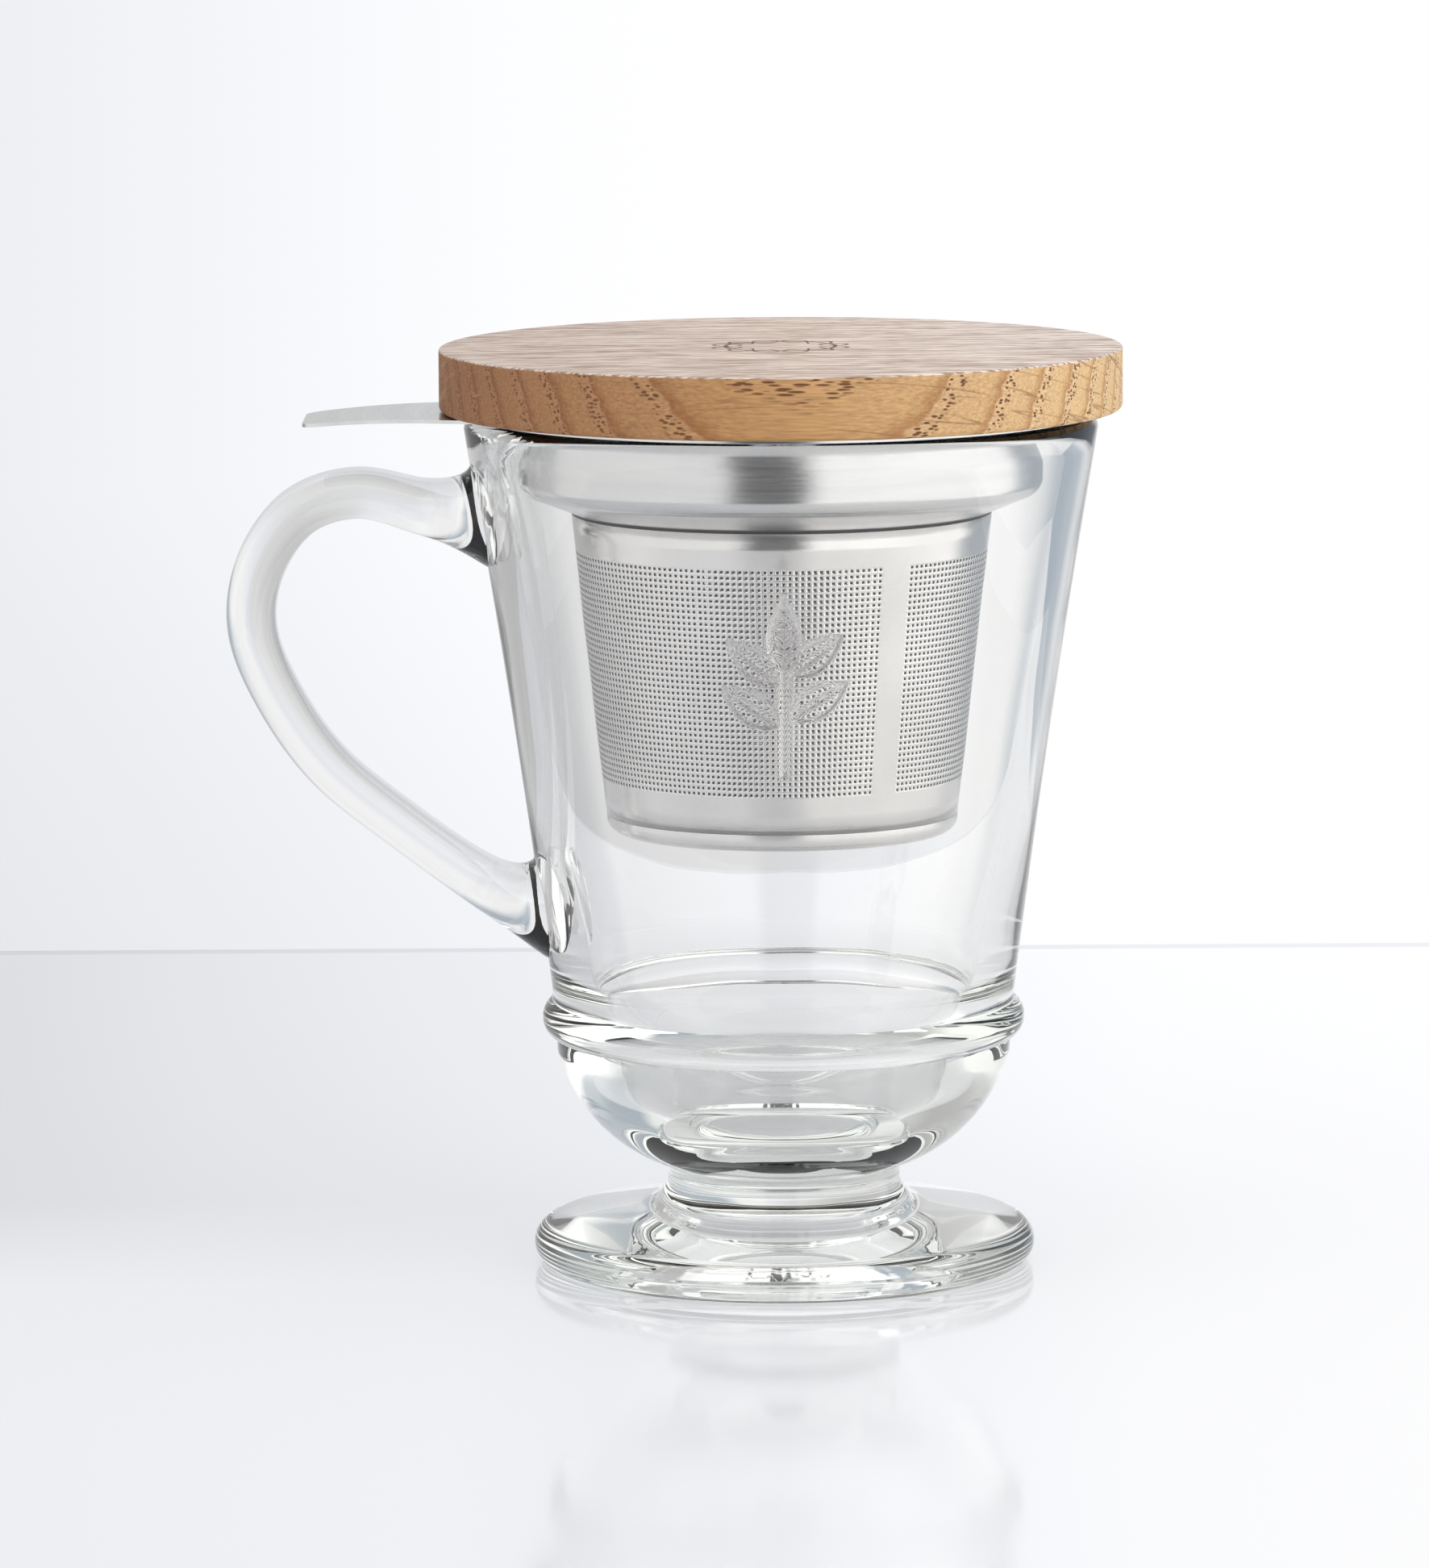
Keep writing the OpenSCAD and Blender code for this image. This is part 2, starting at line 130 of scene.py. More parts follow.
def glass_section():
    """Section of the glass from the punt's middle round the outside to the inside floor."""
    foot_r, foot_edge, neck_r, neck_z, neck_fillet = 35.9, 3.0, 16.6, 13.2, 5.0
    bead_r, bead_x, bead_z, bowl_r = 2.9, 31.6, 35.6, 23.2
    punt_r, punt_h, punt_fillet = 17.5, 7.2, 2.6
    punt_side = punt_r - 2.4
    bowl_c = (WAIST_R - bowl_r, bead_z + 0.9)
    bowl_low = -math.degrees(math.acos((neck_r - bowl_c[0]) / bowl_r))
    relief_low, relief_high = SPRIG_Z - 14.0, SPRIG_Z + 14.4
    side = [relief_low, relief_high, LIP_Z]
    knots = [(RIM_R - RIM_WALL, LIP_Z), (bore_r(90), 90), (bore_r(62), 62)] + CUP + [(0, FLOOR_Z)]
    inside = [tuple(spline(knots, i, k / 8)) for i in range(len(knots) - 1) for k in range(8)]
    inside.append((0, FLOOR_Z))
    pts = line((0, punt_h), (punt_side * 0.45, punt_h - 0.1), 5)
    pts += line((punt_side * 0.45, punt_h - 0.1), (punt_side - punt_fillet, punt_h - 0.6), 4)
    pts += arc((punt_side - punt_fillet, punt_h - 0.6 - punt_fillet), punt_fillet, 88, 12, 10)
    pts += line((punt_side - 0.05, 4.3), (punt_r - 0.9, 0.7), 6)[1:]
    pts += arc((punt_r + 0.1, 1.0), 1.0, 197, 270, 6)
    pts += line((punt_r + 0.1, 0), (foot_r - foot_edge, 0), 5)[1:]
    pts += arc((foot_r - foot_edge, foot_edge), foot_edge, -90, 82, 24)
    pts += line(pts[-1], arc((neck_r + neck_fillet, neck_z), neck_fillet, 259, 180, 1)[0], 8)[1:]
    pts += arc((neck_r + neck_fillet, neck_z), neck_fillet, 259, 180, 14)
    pts += arc(bowl_c, bowl_r, bowl_low, -14, 26)
    pts += arc((bead_x, bead_z), bead_r, -72, 58, 22)
    pts += [(body_r(z), z) for _, z in line((0, WAIST_Z), (0, side[0]), 12)]
    pts += [(body_r(z), z) for _, z in line((0, side[0]), (0, side[1]), 120)]
    pts += [(body_r(z), z) for _, z in line((0, side[1]), (0, side[2]), 7)]
    pts += arc((RIM_R - RIM_WALL / 2, LIP_Z), RIM_WALL / 2, 8, 172, 22)
    pts += inside[1:]
    return pts


def lathe(name, section, turns, move=None):
    """Solid of revolution. A section that starts and ends on the axis is closed by its poles,
    any other is taken as a loop. turns are degrees, move(r, z, turn) shifts a point."""
    mesh = bpy.data.meshes.new(name)
    bm = bmesh.new()
    rows = []
    for r, z in section:
        if r < 1e-6:
            rows.append([bm.verts.new((0, 0, z * MM))])
            continue
        row = []
        for turn in turns:
            rr, zz = move(r, z, turn) if move else (r, z)
            a = math.radians(turn)
            row.append(bm.verts.new((rr * math.sin(a) * MM, -rr * math.cos(a) * MM, zz * MM)))
        rows.append(row)
    pairs = list(zip(rows, rows[1:]))
    if len(rows[0]) > 1:
        pairs.append((rows[-1], rows[0]))
    n = len(turns)
    for low, high in pairs:
        for i in range(n):
            j = (i + 1) % n
            if len(low) == 1:
                bm.faces.new((low[0], high[j], high[i]))
            elif len(high) == 1:
                bm.faces.new((low[i], low[j], high[0]))
            else:
                bm.faces.new((low[i], low[j], high[j], high[i]))
    bmesh.ops.recalc_face_normals(bm, faces=bm.faces)
    bm.to_mesh(mesh)
    bm.free()
    mesh.shade_smooth()
    piece = bpy.data.objects.new(name, mesh)
    bpy.context.scene.collection.objects.link(piece)
    return piece


def glass_move(r, z, turn):
    """Presses the sprig into the front of the wall, and leaves the punt's edge rough."""
    a = math.radians(turn)
    if r > bore_r(z) + 2 and abs(z - SPRIG_Z) < 15 and abs(turn) < 18:
        return r + sprig_height(r * a, z - SPRIG_Z), z
    if r < 18.5 and z < 6.6 and r > 9:
        depth = 1 - abs(z - 3.0) / 3.6
        chatter = 0.5 * math.sin(37 * a) + 0.3 * math.sin(61 * a + 1) + 0.4 * math.sin(13 * a)
        return r + 0.08 * depth * chatter if depth > 0 else r, z
    return r, z


fine = [-17 + 34 * i / 110 for i in range(111)]
coarse = [17 + 326 * i / 130 for i in range(1, 130)]
mug = lathe("glass_mug_body", glass_section(), fine + coarse, glass_move)

HANDLE_REACH, ROOT_TOP_Z, ROOT_LOW_Z = 38.6, GLASS_H - 14.2, WAIST_Z + 11.8
GRIP_T, LEG_T, GRIP_W = 7.2, 6.5, 12.0
ROOT_H, ROOT_W, ROOT_LEN = 14.9, 15.4, 3.5
HANDLE_SHAPE = [  # share of the reach outside the glass, share of the height between the roots
    (0.01, 1.00), (0.22, 1.023), (0.478, 1.059), (0.73, 1.011), (0.922, 0.876), (1.00, 0.71),
    (0.932, 0.531), (0.777, 0.359), (0.516, 0.206), (0.224, 0.062), (0.02, -0.002)]


def handle_mesh(name, steps=10, sides=40):
    """Sweeps the grip's oval along the ear, swelling it into a pad at each root."""
    span = ROOT_TOP_Z - ROOT_LOW_Z
    knots = [(-body_r(ROOT_TOP_Z) + RIM_WALL * 0.55, ROOT_TOP_Z - 0.2)]
    for out, up in HANDLE_SHAPE:
        z = ROOT_LOW_Z + span * up
        knots.append((-body_r(z) - (HANDLE_REACH - GRIP_T / 2) * out, z))
    knots.append((-body_r(ROOT_LOW_Z) + LOW_WALL * 0.5, ROOT_LOW_Z - 0.7))
    path = [spline(knots, i, k / steps) for i in range(len(knots) - 1) for k in range(steps)]
    path.append(Vector(knots[-1]))
    bm = bmesh.new()
    rings = []
    for i, p in enumerate(path):
        ahead = (path[min(i + 1, len(path) - 1)] - path[max(i - 1, 0)]).normalized()
        square = Vector((ahead.y, -ahead.x))
        slope = body_r(p.y + 0.5) - body_r(p.y - 0.5)
        wall = Vector((-slope, 1)).normalized() * (-1 if square.y < 0 else 1)
        root = math.exp(-max(0, -p.x - body_r(p.y)) / ROOT_LEN)
        across = (wall * root + square * (1 - root)).normalized()
        share = min(1, max(0, 2 * i / (len(path) - 1) - 0.8))
        plain = GRIP_T + (LEG_T - GRIP_T) * share
        high = plain + (ROOT_H - plain) * root
        wide = GRIP_W + (ROOT_W - GRIP_W) * root
        ring = []
        for k in range(sides):
            a = 2 * math.pi * k / sides
            c = math.copysign(abs(math.cos(a)) ** 0.85, math.cos(a)) * high / 2
            s = math.copysign(abs(math.sin(a)) ** 0.85, math.sin(a)) * wide / 2
            ring.append(bm.verts.new(((p.x + across.x * c) * MM, s * MM, (p.y + across.y * c) * MM)))
        rings.append(ring)
    for low, high in zip(rings, rings[1:]):
        for k in range(sides):
            m = (k + 1) % sides
            bm.faces.new((low[k], high[k], high[m], low[m]))
    bm.faces.new(rings[0])
    bm.faces.new(list(reversed(rings[-1])))
    bmesh.ops.recalc_face_normals(bm, faces=bm.faces)
    mesh = bpy.data.meshes.new(name)
    bm.to_mesh(mesh)
    bm.free()
    mesh.shade_smooth()
    piece = bpy.data.objects.new(name, mesh)
    bpy.context.scene.collection.objects.link(piece)
    return piece


def settle(piece):
    """Turns a piece and its modifiers into one plain mesh."""
    bpy.context.view_layer.update()
    done = bpy.data.meshes.new_from_object(piece.evaluated_get(bpy.context.evaluated_depsgraph_get()))
    piece.modifiers.clear()
    piece.data = done
    return piece


def combine(piece, other, operation):
    """Joins or cuts a piece with another closed mesh, which is used up."""
    cut = piece.modifiers.new(operation, "BOOLEAN")
    cut.operation, cut.object, cut.solver = operation, other, "MANIFOLD"
    settle(piece)
    bpy.data.objects.remove(other)
    return piece


combine(mug, handle_mesh("handle"), "UNION")
mug.data.set_sharp_from_angle(angle=math.radians(38))


def srgb(code):
    """Linear colour, with alpha, of an sRGB hex value."""
    parts = [int(code[i:i + 2], 16) / 255 for i in (0, 2, 4)]
    return (*[c / 12.92 if c <= 0.04045 else ((c + 0.055) / 1.055) ** 2.4 for c in parts], 1)


def fill_ramp(color_ramp, stops):
    """Sets a colour ramp's stops, each a place and a grey or a colour."""
    while len(color_ramp.elements) < len(stops):
        color_ramp.elements.new(0.5)
    for element, (place, tone) in zip(color_ramp.elements, stops):
        element.position = place
        element.color = tone if isinstance(tone, tuple) else (tone, tone, tone, 1)


def add(tree, kind, settings=None, **links):
    """Adds a node. settings holds its properties and a ramp's stops, links its inputs: a value,
    a socket, or a node, which stands for its first output."""
    made = tree.nodes.new(kind)
    for key, value in (settings or {}).items():
        if key == "stops":
            fill_ramp(made.color_ramp, value)
        else:
            setattr(made, key, value)
    for key, value in links.items():
        socket = made.inputs[int(key[1:])] if key[0] == "i" and key[1:].isdigit() \
            else made.inputs[key.replace("_", " ")]
        if isinstance(value, bpy.types.Node):
            value = value.outputs[0]
        if isinstance(value, bpy.types.NodeSocket):
            tree.links.new(value, socket)
        else:
            socket.default_value = value
    return made


def new_material(name):
    """An empty node material with its output."""
    material = bpy.data.materials.new(name)
    material.use_nodes = True
    material.node_tree.nodes.clear()
    return material, material.node_tree, material.node_tree.nodes.new("ShaderNodeOutputMaterial")


# Soda-lime glass, pressed and fire-polished: clear with a faint olive body, and the slow
# waviness of a pressed wall, which bends what is seen through it.
pressed_glass, tree, out = new_material("pressed_soda_lime_glass")
where = add(tree, "ShaderNodeTexCoord")
waves = add(tree, "ShaderNodeTexNoise", Vector=where.outputs["Object"], Scale=55.0, Detail=1.0)
bump = add(tree, "ShaderNodeBump", Strength=0.25, Distance=0.0003, Height=waves.outputs["Fac"])
skin = add(tree, "ShaderNodeBsdfPrincipled", Base_Color=(1, 1, 1, 1), Roughness=0.0, IOR=1.517,
           Transmission_Weight=1.0, Normal=bump.outputs["Normal"])
body = add(tree, "ShaderNodeVolumeAbsorption", Color=(0.90, 0.93, 0.84, 1), Density=7.0)
tree.links.new(skin.outputs["BSDF"], out.inputs["Surface"])
tree.links.new(body.outputs["Volume"], out.inputs["Volume"])
mug.data.materials.clear()
mug.data.materials.append(pressed_glass)
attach(mug, "mug")
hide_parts("glass_mug")


# ---------------------------------------------------------------------------------------------
# Infuser wall. Two etched panels of stainless sheet, each with a fine square field of holes,
# rolled to a cone and butt-welded along plain strips, one of them right of the front.

FLANGE_Z, SHEET, WELD_GAP = 122.05, 0.5, 0.05
WALL_TOP_Z = FLANGE_Z - 11 - 2.4 - 0.35
WALL_LOW_Z = WALL_TOP_Z - 42.8
BASKET_TOP_R, BASKET_LOW_R = 29.95, 25.1
SEAM_TURN = 31.8
FIELD_LOW_Z, FIELD_HIGH, FIELD_MID_R = 70.8, 32.5, 27.9
COLUMNS, ROWS, STRIP_CELLS = 103, 39, 2.5
CELL_TURN, CELL_HIGH = 180 / (COLUMNS + 2 * STRIP_CELLS), FIELD_HIGH / ROWS
HOLE_W, HOLE_H = 0.36, 0.37


def basket_r(z):
    return BASKET_LOW_R + (BASKET_TOP_R - BASKET_LOW_R) * (z - WALL_LOW_Z) / (WALL_TOP_Z - WALL_LOW_Z)


def panel_blank(name):
    """Flat lattice of a panel in cells, with its window for the holes left open."""
    low = (FIELD_LOW_Z - WALL_LOW_Z) / CELL_HIGH
    high = (WALL_TOP_Z - FIELD_LOW_Z) / CELL_HIGH
    strip, band = 4, 2  # faces across a plain strip and up a plain band
    xs = [-STRIP_CELLS + STRIP_CELLS * i / strip for i in range(strip)] + list(range(COLUMNS + 1))
    xs += [COLUMNS + STRIP_CELLS * i / strip for i in range(1, strip + 1)]
    ys = [-low + low * i / band for i in range(band)] + list(range(ROWS + 1))
    ys += [ROWS + (high - ROWS) * i / band for i in range(1, band + 1)]
    bm = bmesh.new()
    grid = [[bm.verts.new((x, y, 0)) for y in ys] for x in xs]
    for i in range(len(xs) - 1):
        for j in range(len(ys) - 1):
            if not (strip <= i < strip + COLUMNS and band <= j < band + ROWS):
                bm.faces.new((grid[i][j], grid[i + 1][j], grid[i + 1][j + 1], grid[i][j + 1]))
    mesh = bpy.data.meshes.new(name)
    bm.to_mesh(mesh)
    bm.free()
    return mesh


def hole_cell(name):
    """One cell of the field: a unit square round a hole, which is drawn square to save faces."""
    wide = HOLE_W / 2 / (math.radians(CELL_TURN) * FIELD_MID_R)
    high = HOLE_H / 2 / CELL_HIGH
    turns = [(1, -1), (1, 1), (-1, 1), (-1, -1)]
    corners = [(x / 2, y / 2, 0) for x, y in turns] + [(x * wide, y * high, 0) for x, y in turns]
    faces = [(k, (k + 1) % 4, 4 + (k + 1) % 4, 4 + k) for k in range(4)]
    mesh = bpy.data.meshes.new(name)
    mesh.from_pydata(corners, [], faces)
    return mesh


def panel_tree():
    """Sets a cell on every place of the field, then rolls the flat panel to its cone."""
    tree = bpy.data.node_groups.new("rolled_panel", "GeometryNodeTree")
    face = tree.interface
    face.new_socket("Blank", in_out="INPUT", socket_type="NodeSocketGeometry")
    for name, kind in [("Cell", "NodeSocketObject"), ("Columns", "NodeSocketInt"),
                       ("Rows", "NodeSocketInt"), ("Cell turn", "NodeSocketFloat"),
                       ("Cell height", "NodeSocketFloat"), ("First turn", "NodeSocketFloat"),
                       ("Field height", "NodeSocketFloat"), ("Low height", "NodeSocketFloat"),
                       ("Low radius", "NodeSocketFloat"), ("Taper", "NodeSocketFloat"),
                       ("Metal", "NodeSocketMaterial")]:
        face.new_socket(name, in_out="INPUT", socket_type=kind)
    face.new_socket("Panel", in_out="OUTPUT", socket_type="NodeSocketGeometry")
    given = tree.nodes.new("NodeGroupInput").outputs
    result = tree.nodes.new("NodeGroupOutput")

    # the cells lie on a flat lattice, one unit apart
    wide = add(tree, "ShaderNodeMath", {"operation": "SUBTRACT"}, i0=given["Columns"], i1=1.0)
    high = add(tree, "ShaderNodeMath", {"operation": "SUBTRACT"}, i0=given["Rows"], i1=1.0)
    field = add(tree, "GeometryNodeMeshGrid", Size_X=wide, Size_Y=high,
                Vertices_X=given["Columns"], Vertices_Y=given["Rows"])
    span = add(tree, "ShaderNodeCombineXYZ", X=given["Columns"], Y=given["Rows"])
    middle = add(tree, "ShaderNodeVectorMath", {"operation": "SCALE"}, i0=span, Scale=0.5)
    moved = add(tree, "GeometryNodeTransform", Geometry=field.outputs["Mesh"], Translation=middle)
    cell = add(tree, "GeometryNodeObjectInfo", Object=given["Cell"])
    cells = add(tree, "GeometryNodeInstanceOnPoints", Points=moved.outputs[0],
                Instance=cell.outputs["Geometry"])
    real = add(tree, "GeometryNodeRealizeInstances", Geometry=cells.outputs[0])
    whole = tree.nodes.new("GeometryNodeJoinGeometry")
    tree.links.new(real.outputs[0], whole.inputs[0])
    tree.links.new(given["Blank"], whole.inputs[0])
    joined = add(tree, "GeometryNodeMergeByDistance", Geometry=whole.outputs[0], Distance=0.01)
    place = add(tree, "ShaderNodeSeparateXYZ", Vector=tree.nodes.new(
        "GeometryNodeInputPosition").outputs[0])
    # a column's place becomes a turn about the axis, a row's place a height
    turn = add(tree, "ShaderNodeMath", {"operation": "MULTIPLY_ADD"}, i0=place.outputs["X"],
               i1=given["Cell turn"], i2=given["First turn"])
    height = add(tree, "ShaderNodeMath", {"operation": "MULTIPLY_ADD"}, i0=place.outputs["Y"],
                 i1=given["Cell height"], i2=given["Field height"])
    rise = add(tree, "ShaderNodeMath", {"operation": "SUBTRACT"}, i0=height, i1=given["Low height"])
    radius = add(tree, "ShaderNodeMath", {"operation": "MULTIPLY_ADD"}, i0=rise,
                 i1=given["Taper"], i2=given["Low radius"])
    sine = add(tree, "ShaderNodeMath", {"operation": "SINE"}, i0=turn)
    cosine = add(tree, "ShaderNodeMath", {"operation": "COSINE"}, i0=turn)
    aside = add(tree, "ShaderNodeMath", {"operation": "MULTIPLY"}, i0=radius, i1=sine)
    ahead = add(tree, "ShaderNodeMath", {"operation": "MULTIPLY"}, i0=radius, i1=cosine)
    back = add(tree, "ShaderNodeMath", {"operation": "MULTIPLY"}, i0=ahead, i1=-1.0)
    rolled = add(tree, "ShaderNodeCombineXYZ", X=aside, Y=back, Z=height)
    bent = add(tree, "GeometryNodeSetPosition", Geometry=joined.outputs[0],
               Position=rolled.outputs[0])
    smooth = add(tree, "GeometryNodeSetShadeSmooth", Geometry=bent.outputs[0])
    done = add(tree, "GeometryNodeRealizeInstances", Geometry=smooth.outputs[0])
    dressed = add(tree, "GeometryNodeSetMaterial", Geometry=done.outputs[0],
                  Material=given["Metal"])
    tree.links.new(dressed.outputs[0], result.inputs[0])
    return tree


def set_inputs(modifier, tree, **values):
    """Sets a Geometry Nodes modifier's inputs, found by name and set by identifier."""
    for item in tree.interface.items_tree:
        key = item.name.replace(" ", "_")
        if item.in_out == "INPUT" and key in values:
            modifier[item.identifier] = values[key]


# Stainless sheet, etched and tumbled: a soft satin that spreads reflections, with a faint
# mottle of the mill finish.
etched_steel, tree, out = new_material("etched_stainless_sheet")
where = add(tree, "ShaderNodeTexCoord")
grain = add(tree, "ShaderNodeTexNoise", Vector=where.outputs["Object"], Scale=900.0, Detail=3.0)
cloud = add(tree, "ShaderNodeTexNoise", Vector=where.outputs["Object"], Scale=60.0, Detail=2.0)
tone = add(tree, "ShaderNodeValToRGB", {"stops": [(0.3, srgb("D6D4D2")), (0.7, srgb("E4E2E0"))]},
           Fac=cloud.outputs["Fac"])
dull = add(tree, "ShaderNodeMapRange", Value=grain.outputs["Fac"], To_Min=0.16, To_Max=0.28)
bump = add(tree, "ShaderNodeBump", Strength=0.12, Distance=0.00004, Height=grain.outputs["Fac"])
skin = add(tree, "ShaderNodeBsdfPrincipled", Base_Color=tone.outputs["Color"], Metallic=1.0,
           Roughness=dull.outputs["Result"], Normal=bump.outputs["Normal"])
tree.links.new(skin.outputs["BSDF"], out.inputs["Surface"])

# The walls of the etched holes stay dull and dark.
hole_wall, tree, out = new_material("etched_hole_wall")
skin = add(tree, "ShaderNodeBsdfPrincipled", Base_Color=srgb("5C5855"), Metallic=1.0, Roughness=0.6)
tree.links.new(skin.outputs["BSDF"], out.inputs["Surface"])

rolled_panel = panel_tree()
cell = bpy.data.objects.new("hole_cell", hole_cell("hole_cell"))
welded = bmesh.new()
for number in range(2):
    panel = bpy.data.objects.new("panel", panel_blank("panel_blank"))
    bpy.context.scene.collection.objects.link(panel)
    roll = panel.modifiers.new("roll", "NODES")
    roll.node_group = rolled_panel
    first = SEAM_TURN + 180 * (number + 1) + STRIP_CELLS * CELL_TURN
    set_inputs(roll, rolled_panel, Cell=cell, Columns=COLUMNS, Rows=ROWS,
               Cell_turn=math.radians(CELL_TURN), Cell_height=CELL_HIGH * MM,
               First_turn=math.radians(first), Field_height=FIELD_LOW_Z * MM,
               Low_height=WALL_LOW_Z * MM, Low_radius=BASKET_LOW_R * MM,
               Taper=(BASKET_TOP_R - BASKET_LOW_R) / (WALL_TOP_Z - WALL_LOW_Z),
               Metal=etched_steel)
    welded.from_mesh(settle(panel).data)
    bpy.data.objects.remove(panel)
bpy.data.objects.remove(cell)
bmesh.ops.remove_doubles(welded, verts=welded.verts, dist=0.01 * MM)
for face in welded.faces:
    face.material_index = 0
mesh = bpy.data.meshes.new("infuser_wall_sheet")
welded.to_mesh(mesh)
welded.free()
mesh.materials.append(etched_steel)
mesh.materials.append(hole_wall)
wall = bpy.data.objects.new("infuser_wall_sheet", mesh)
bpy.context.scene.collection.objects.link(wall)
thick = wall.modifiers.new("sheet", "SOLIDIFY")
thick.thickness, thick.offset, thick.material_offset_rim = SHEET * MM, -1, 1
settle(wall)
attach(wall, "infuser")
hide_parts("infuser_wall")


# ---------------------------------------------------------------------------------------------
# Infuser base. A shallow cup pressed from stainless sheet, with a square field of holes in its
# flat, and a joggled rim that laps inside the wall and is spot-welded to it.

BASE_H, BASE_CORNER, LAP = 2.6, 1.9, 4.3
BASE_PITCH, BASE_HOLE, BASE_FIELD_R = 1.2, 0.6, 20.5
BASE_Z = WALL_LOW_Z - BASE_H


def lap_r(z):
    return basket_r(z) - SHEET - WELD_GAP


def sheet_section(path):
    """Loop round a sheet whose outer face is path, with its thickness to the path's right."""
    inner = []
    for i, p in enumerate(path):
        back = Vector(p) - Vector(path[max(i - 1, 0)])
        on = Vector(path[min(i + 1, len(path) - 1)]) - Vector(p)
        way = ((back.normalized() if back.length else on.normalized())
               + (on.normalized() if on.length else back.normalized())).normalized()
        edge = (on if on.length else back).normalized()
        stretch = 1 / max(0.5, way.dot(edge))
        inner.append((p[0] + way.y * SHEET * stretch, p[1] - way.x * SHEET * stretch))
    return list(path) + inner[::-1]


edge_r = basket_r(WALL_LOW_Z)
joggle_z = WALL_LOW_Z - 0.03
path = line((lap_r(WALL_LOW_Z + LAP), WALL_LOW_Z + LAP), (lap_r(WALL_LOW_Z), WALL_LOW_Z), 3)
path += [(lap_r(WALL_LOW_Z), WALL_LOW_Z), (edge_r, joggle_z)]
path += arc((edge_r - BASE_CORNER, BASE_Z + BASE_CORNER), BASE_CORNER, 0, -90, 10)
path += line((edge_r - BASE_CORNER, BASE_Z), (0, BASE_Z), 6)[1:]
loop = sheet_section(path + [(0, BASE_Z)])
middle = len(path) + 1
every_two = [2 * i for i in range(180)]
base = lathe("infuser_base_cup", [(0, BASE_Z + SHEET)] + loop[middle + 1:] + loop[:middle], every_two)


def round_field_tree():
    """A square field of short eight-sided rods within a circle, to cut holes with."""
    tree = bpy.data.node_groups.new("round_field", "GeometryNodeTree")
    tree.interface.new_socket("Nothing", in_out="INPUT", socket_type="NodeSocketGeometry")
    for name in ("Pitch", "Hole", "Radius", "Height"):
        tree.interface.new_socket(name, in_out="INPUT", socket_type="NodeSocketFloat")
    tree.interface.new_socket("Metal", in_out="INPUT", socket_type="NodeSocketMaterial")
    tree.interface.new_socket("Rods", in_out="OUTPUT", socket_type="NodeSocketGeometry")
    given = tree.nodes.new("NodeGroupInput").outputs
    result = tree.nodes.new("NodeGroupOutput")
    across = add(tree, "ShaderNodeMath", {"operation": "DIVIDE"}, i0=given["Radius"],
                 i1=given["Pitch"])
    whole = add(tree, "ShaderNodeMath", {"operation": "FLOOR"}, i0=across)
    count = add(tree, "ShaderNodeMath", {"operation": "MULTIPLY_ADD"}, i0=whole, i1=2.0, i2=1.0)
    gaps = add(tree, "ShaderNodeMath", {"operation": "SUBTRACT"}, i0=count, i1=1.0)
    size = add(tree, "ShaderNodeMath", {"operation": "MULTIPLY"}, i0=gaps, i1=given["Pitch"])
    grid = add(tree, "GeometryNodeMeshGrid", Size_X=size, Size_Y=size, Vertices_X=count,
               Vertices_Y=count)
    spot = tree.nodes.new("GeometryNodeInputPosition").outputs[0]
    far = add(tree, "ShaderNodeVectorMath", {"operation": "LENGTH"}, i0=spot).outputs["Value"]
    keep = add(tree, "FunctionNodeCompare", {"data_type": "FLOAT", "operation": "LESS_THAN"},
               i0=far, i1=given["Radius"])
    half = add(tree, "ShaderNodeMath", {"operation": "MULTIPLY"}, i0=given["Hole"], i1=0.5)
    rod = add(tree, "GeometryNodeMeshCylinder", Vertices=8, Radius=half, Depth=0.002)
    rods = add(tree, "GeometryNodeInstanceOnPoints", Points=grid.outputs["Mesh"], Selection=keep,
               Instance=rod.outputs["Mesh"])
    lift = add(tree, "ShaderNodeCombineXYZ", Z=given["Height"])
    up = add(tree, "GeometryNodeTransform", Geometry=rods.outputs[0], Translation=lift.outputs[0])
    real = add(tree, "GeometryNodeRealizeInstances", Geometry=up.outputs[0])
    dressed = add(tree, "GeometryNodeSetMaterial", Geometry=real.outputs[0],
                  Material=given["Metal"])
    tree.links.new(dressed.outputs[0], result.inputs[0])
    return tree


round_field = round_field_tree()
rods = bpy.data.objects.new("base_holes", bpy.data.meshes.new("base_holes"))
bpy.context.scene.collection.objects.link(rods)
field = rods.modifiers.new("field", "NODES")
field.node_group = round_field
set_inputs(field, round_field, Pitch=BASE_PITCH * MM, Hole=BASE_HOLE * MM,
           Radius=BASE_FIELD_R * MM, Height=BASE_Z * MM, Metal=etched_steel)
base.data.materials.append(etched_steel)
combine(base, settle(rods), "DIFFERENCE")
base.data.set_sharp_from_angle(angle=math.radians(35))
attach(base, "infuser")
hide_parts("infuser_base")


# ---------------------------------------------------------------------------------------------
# Infuser collar. Deep-drawn from one stainless disc: a flat flange that rests on the rim, with
# the thumb tab cut in one piece with it, a straight collar, and a shoulder down to the wall.

FLANGE_R, COLLAR_R, COLLAR_H, SHOULDER_R, BEND_R = 44.2, 37.4, 11.0, 2.5, 1.3
TAB_REACH, TAB_ROOT, TAB_TIP, TAB_CORNER, TAB_FILLET = 67.6, 15.0, 8.7, 3.0, 6.0
TAB_DROOP, TAB_BEND = 1.0, 18.0


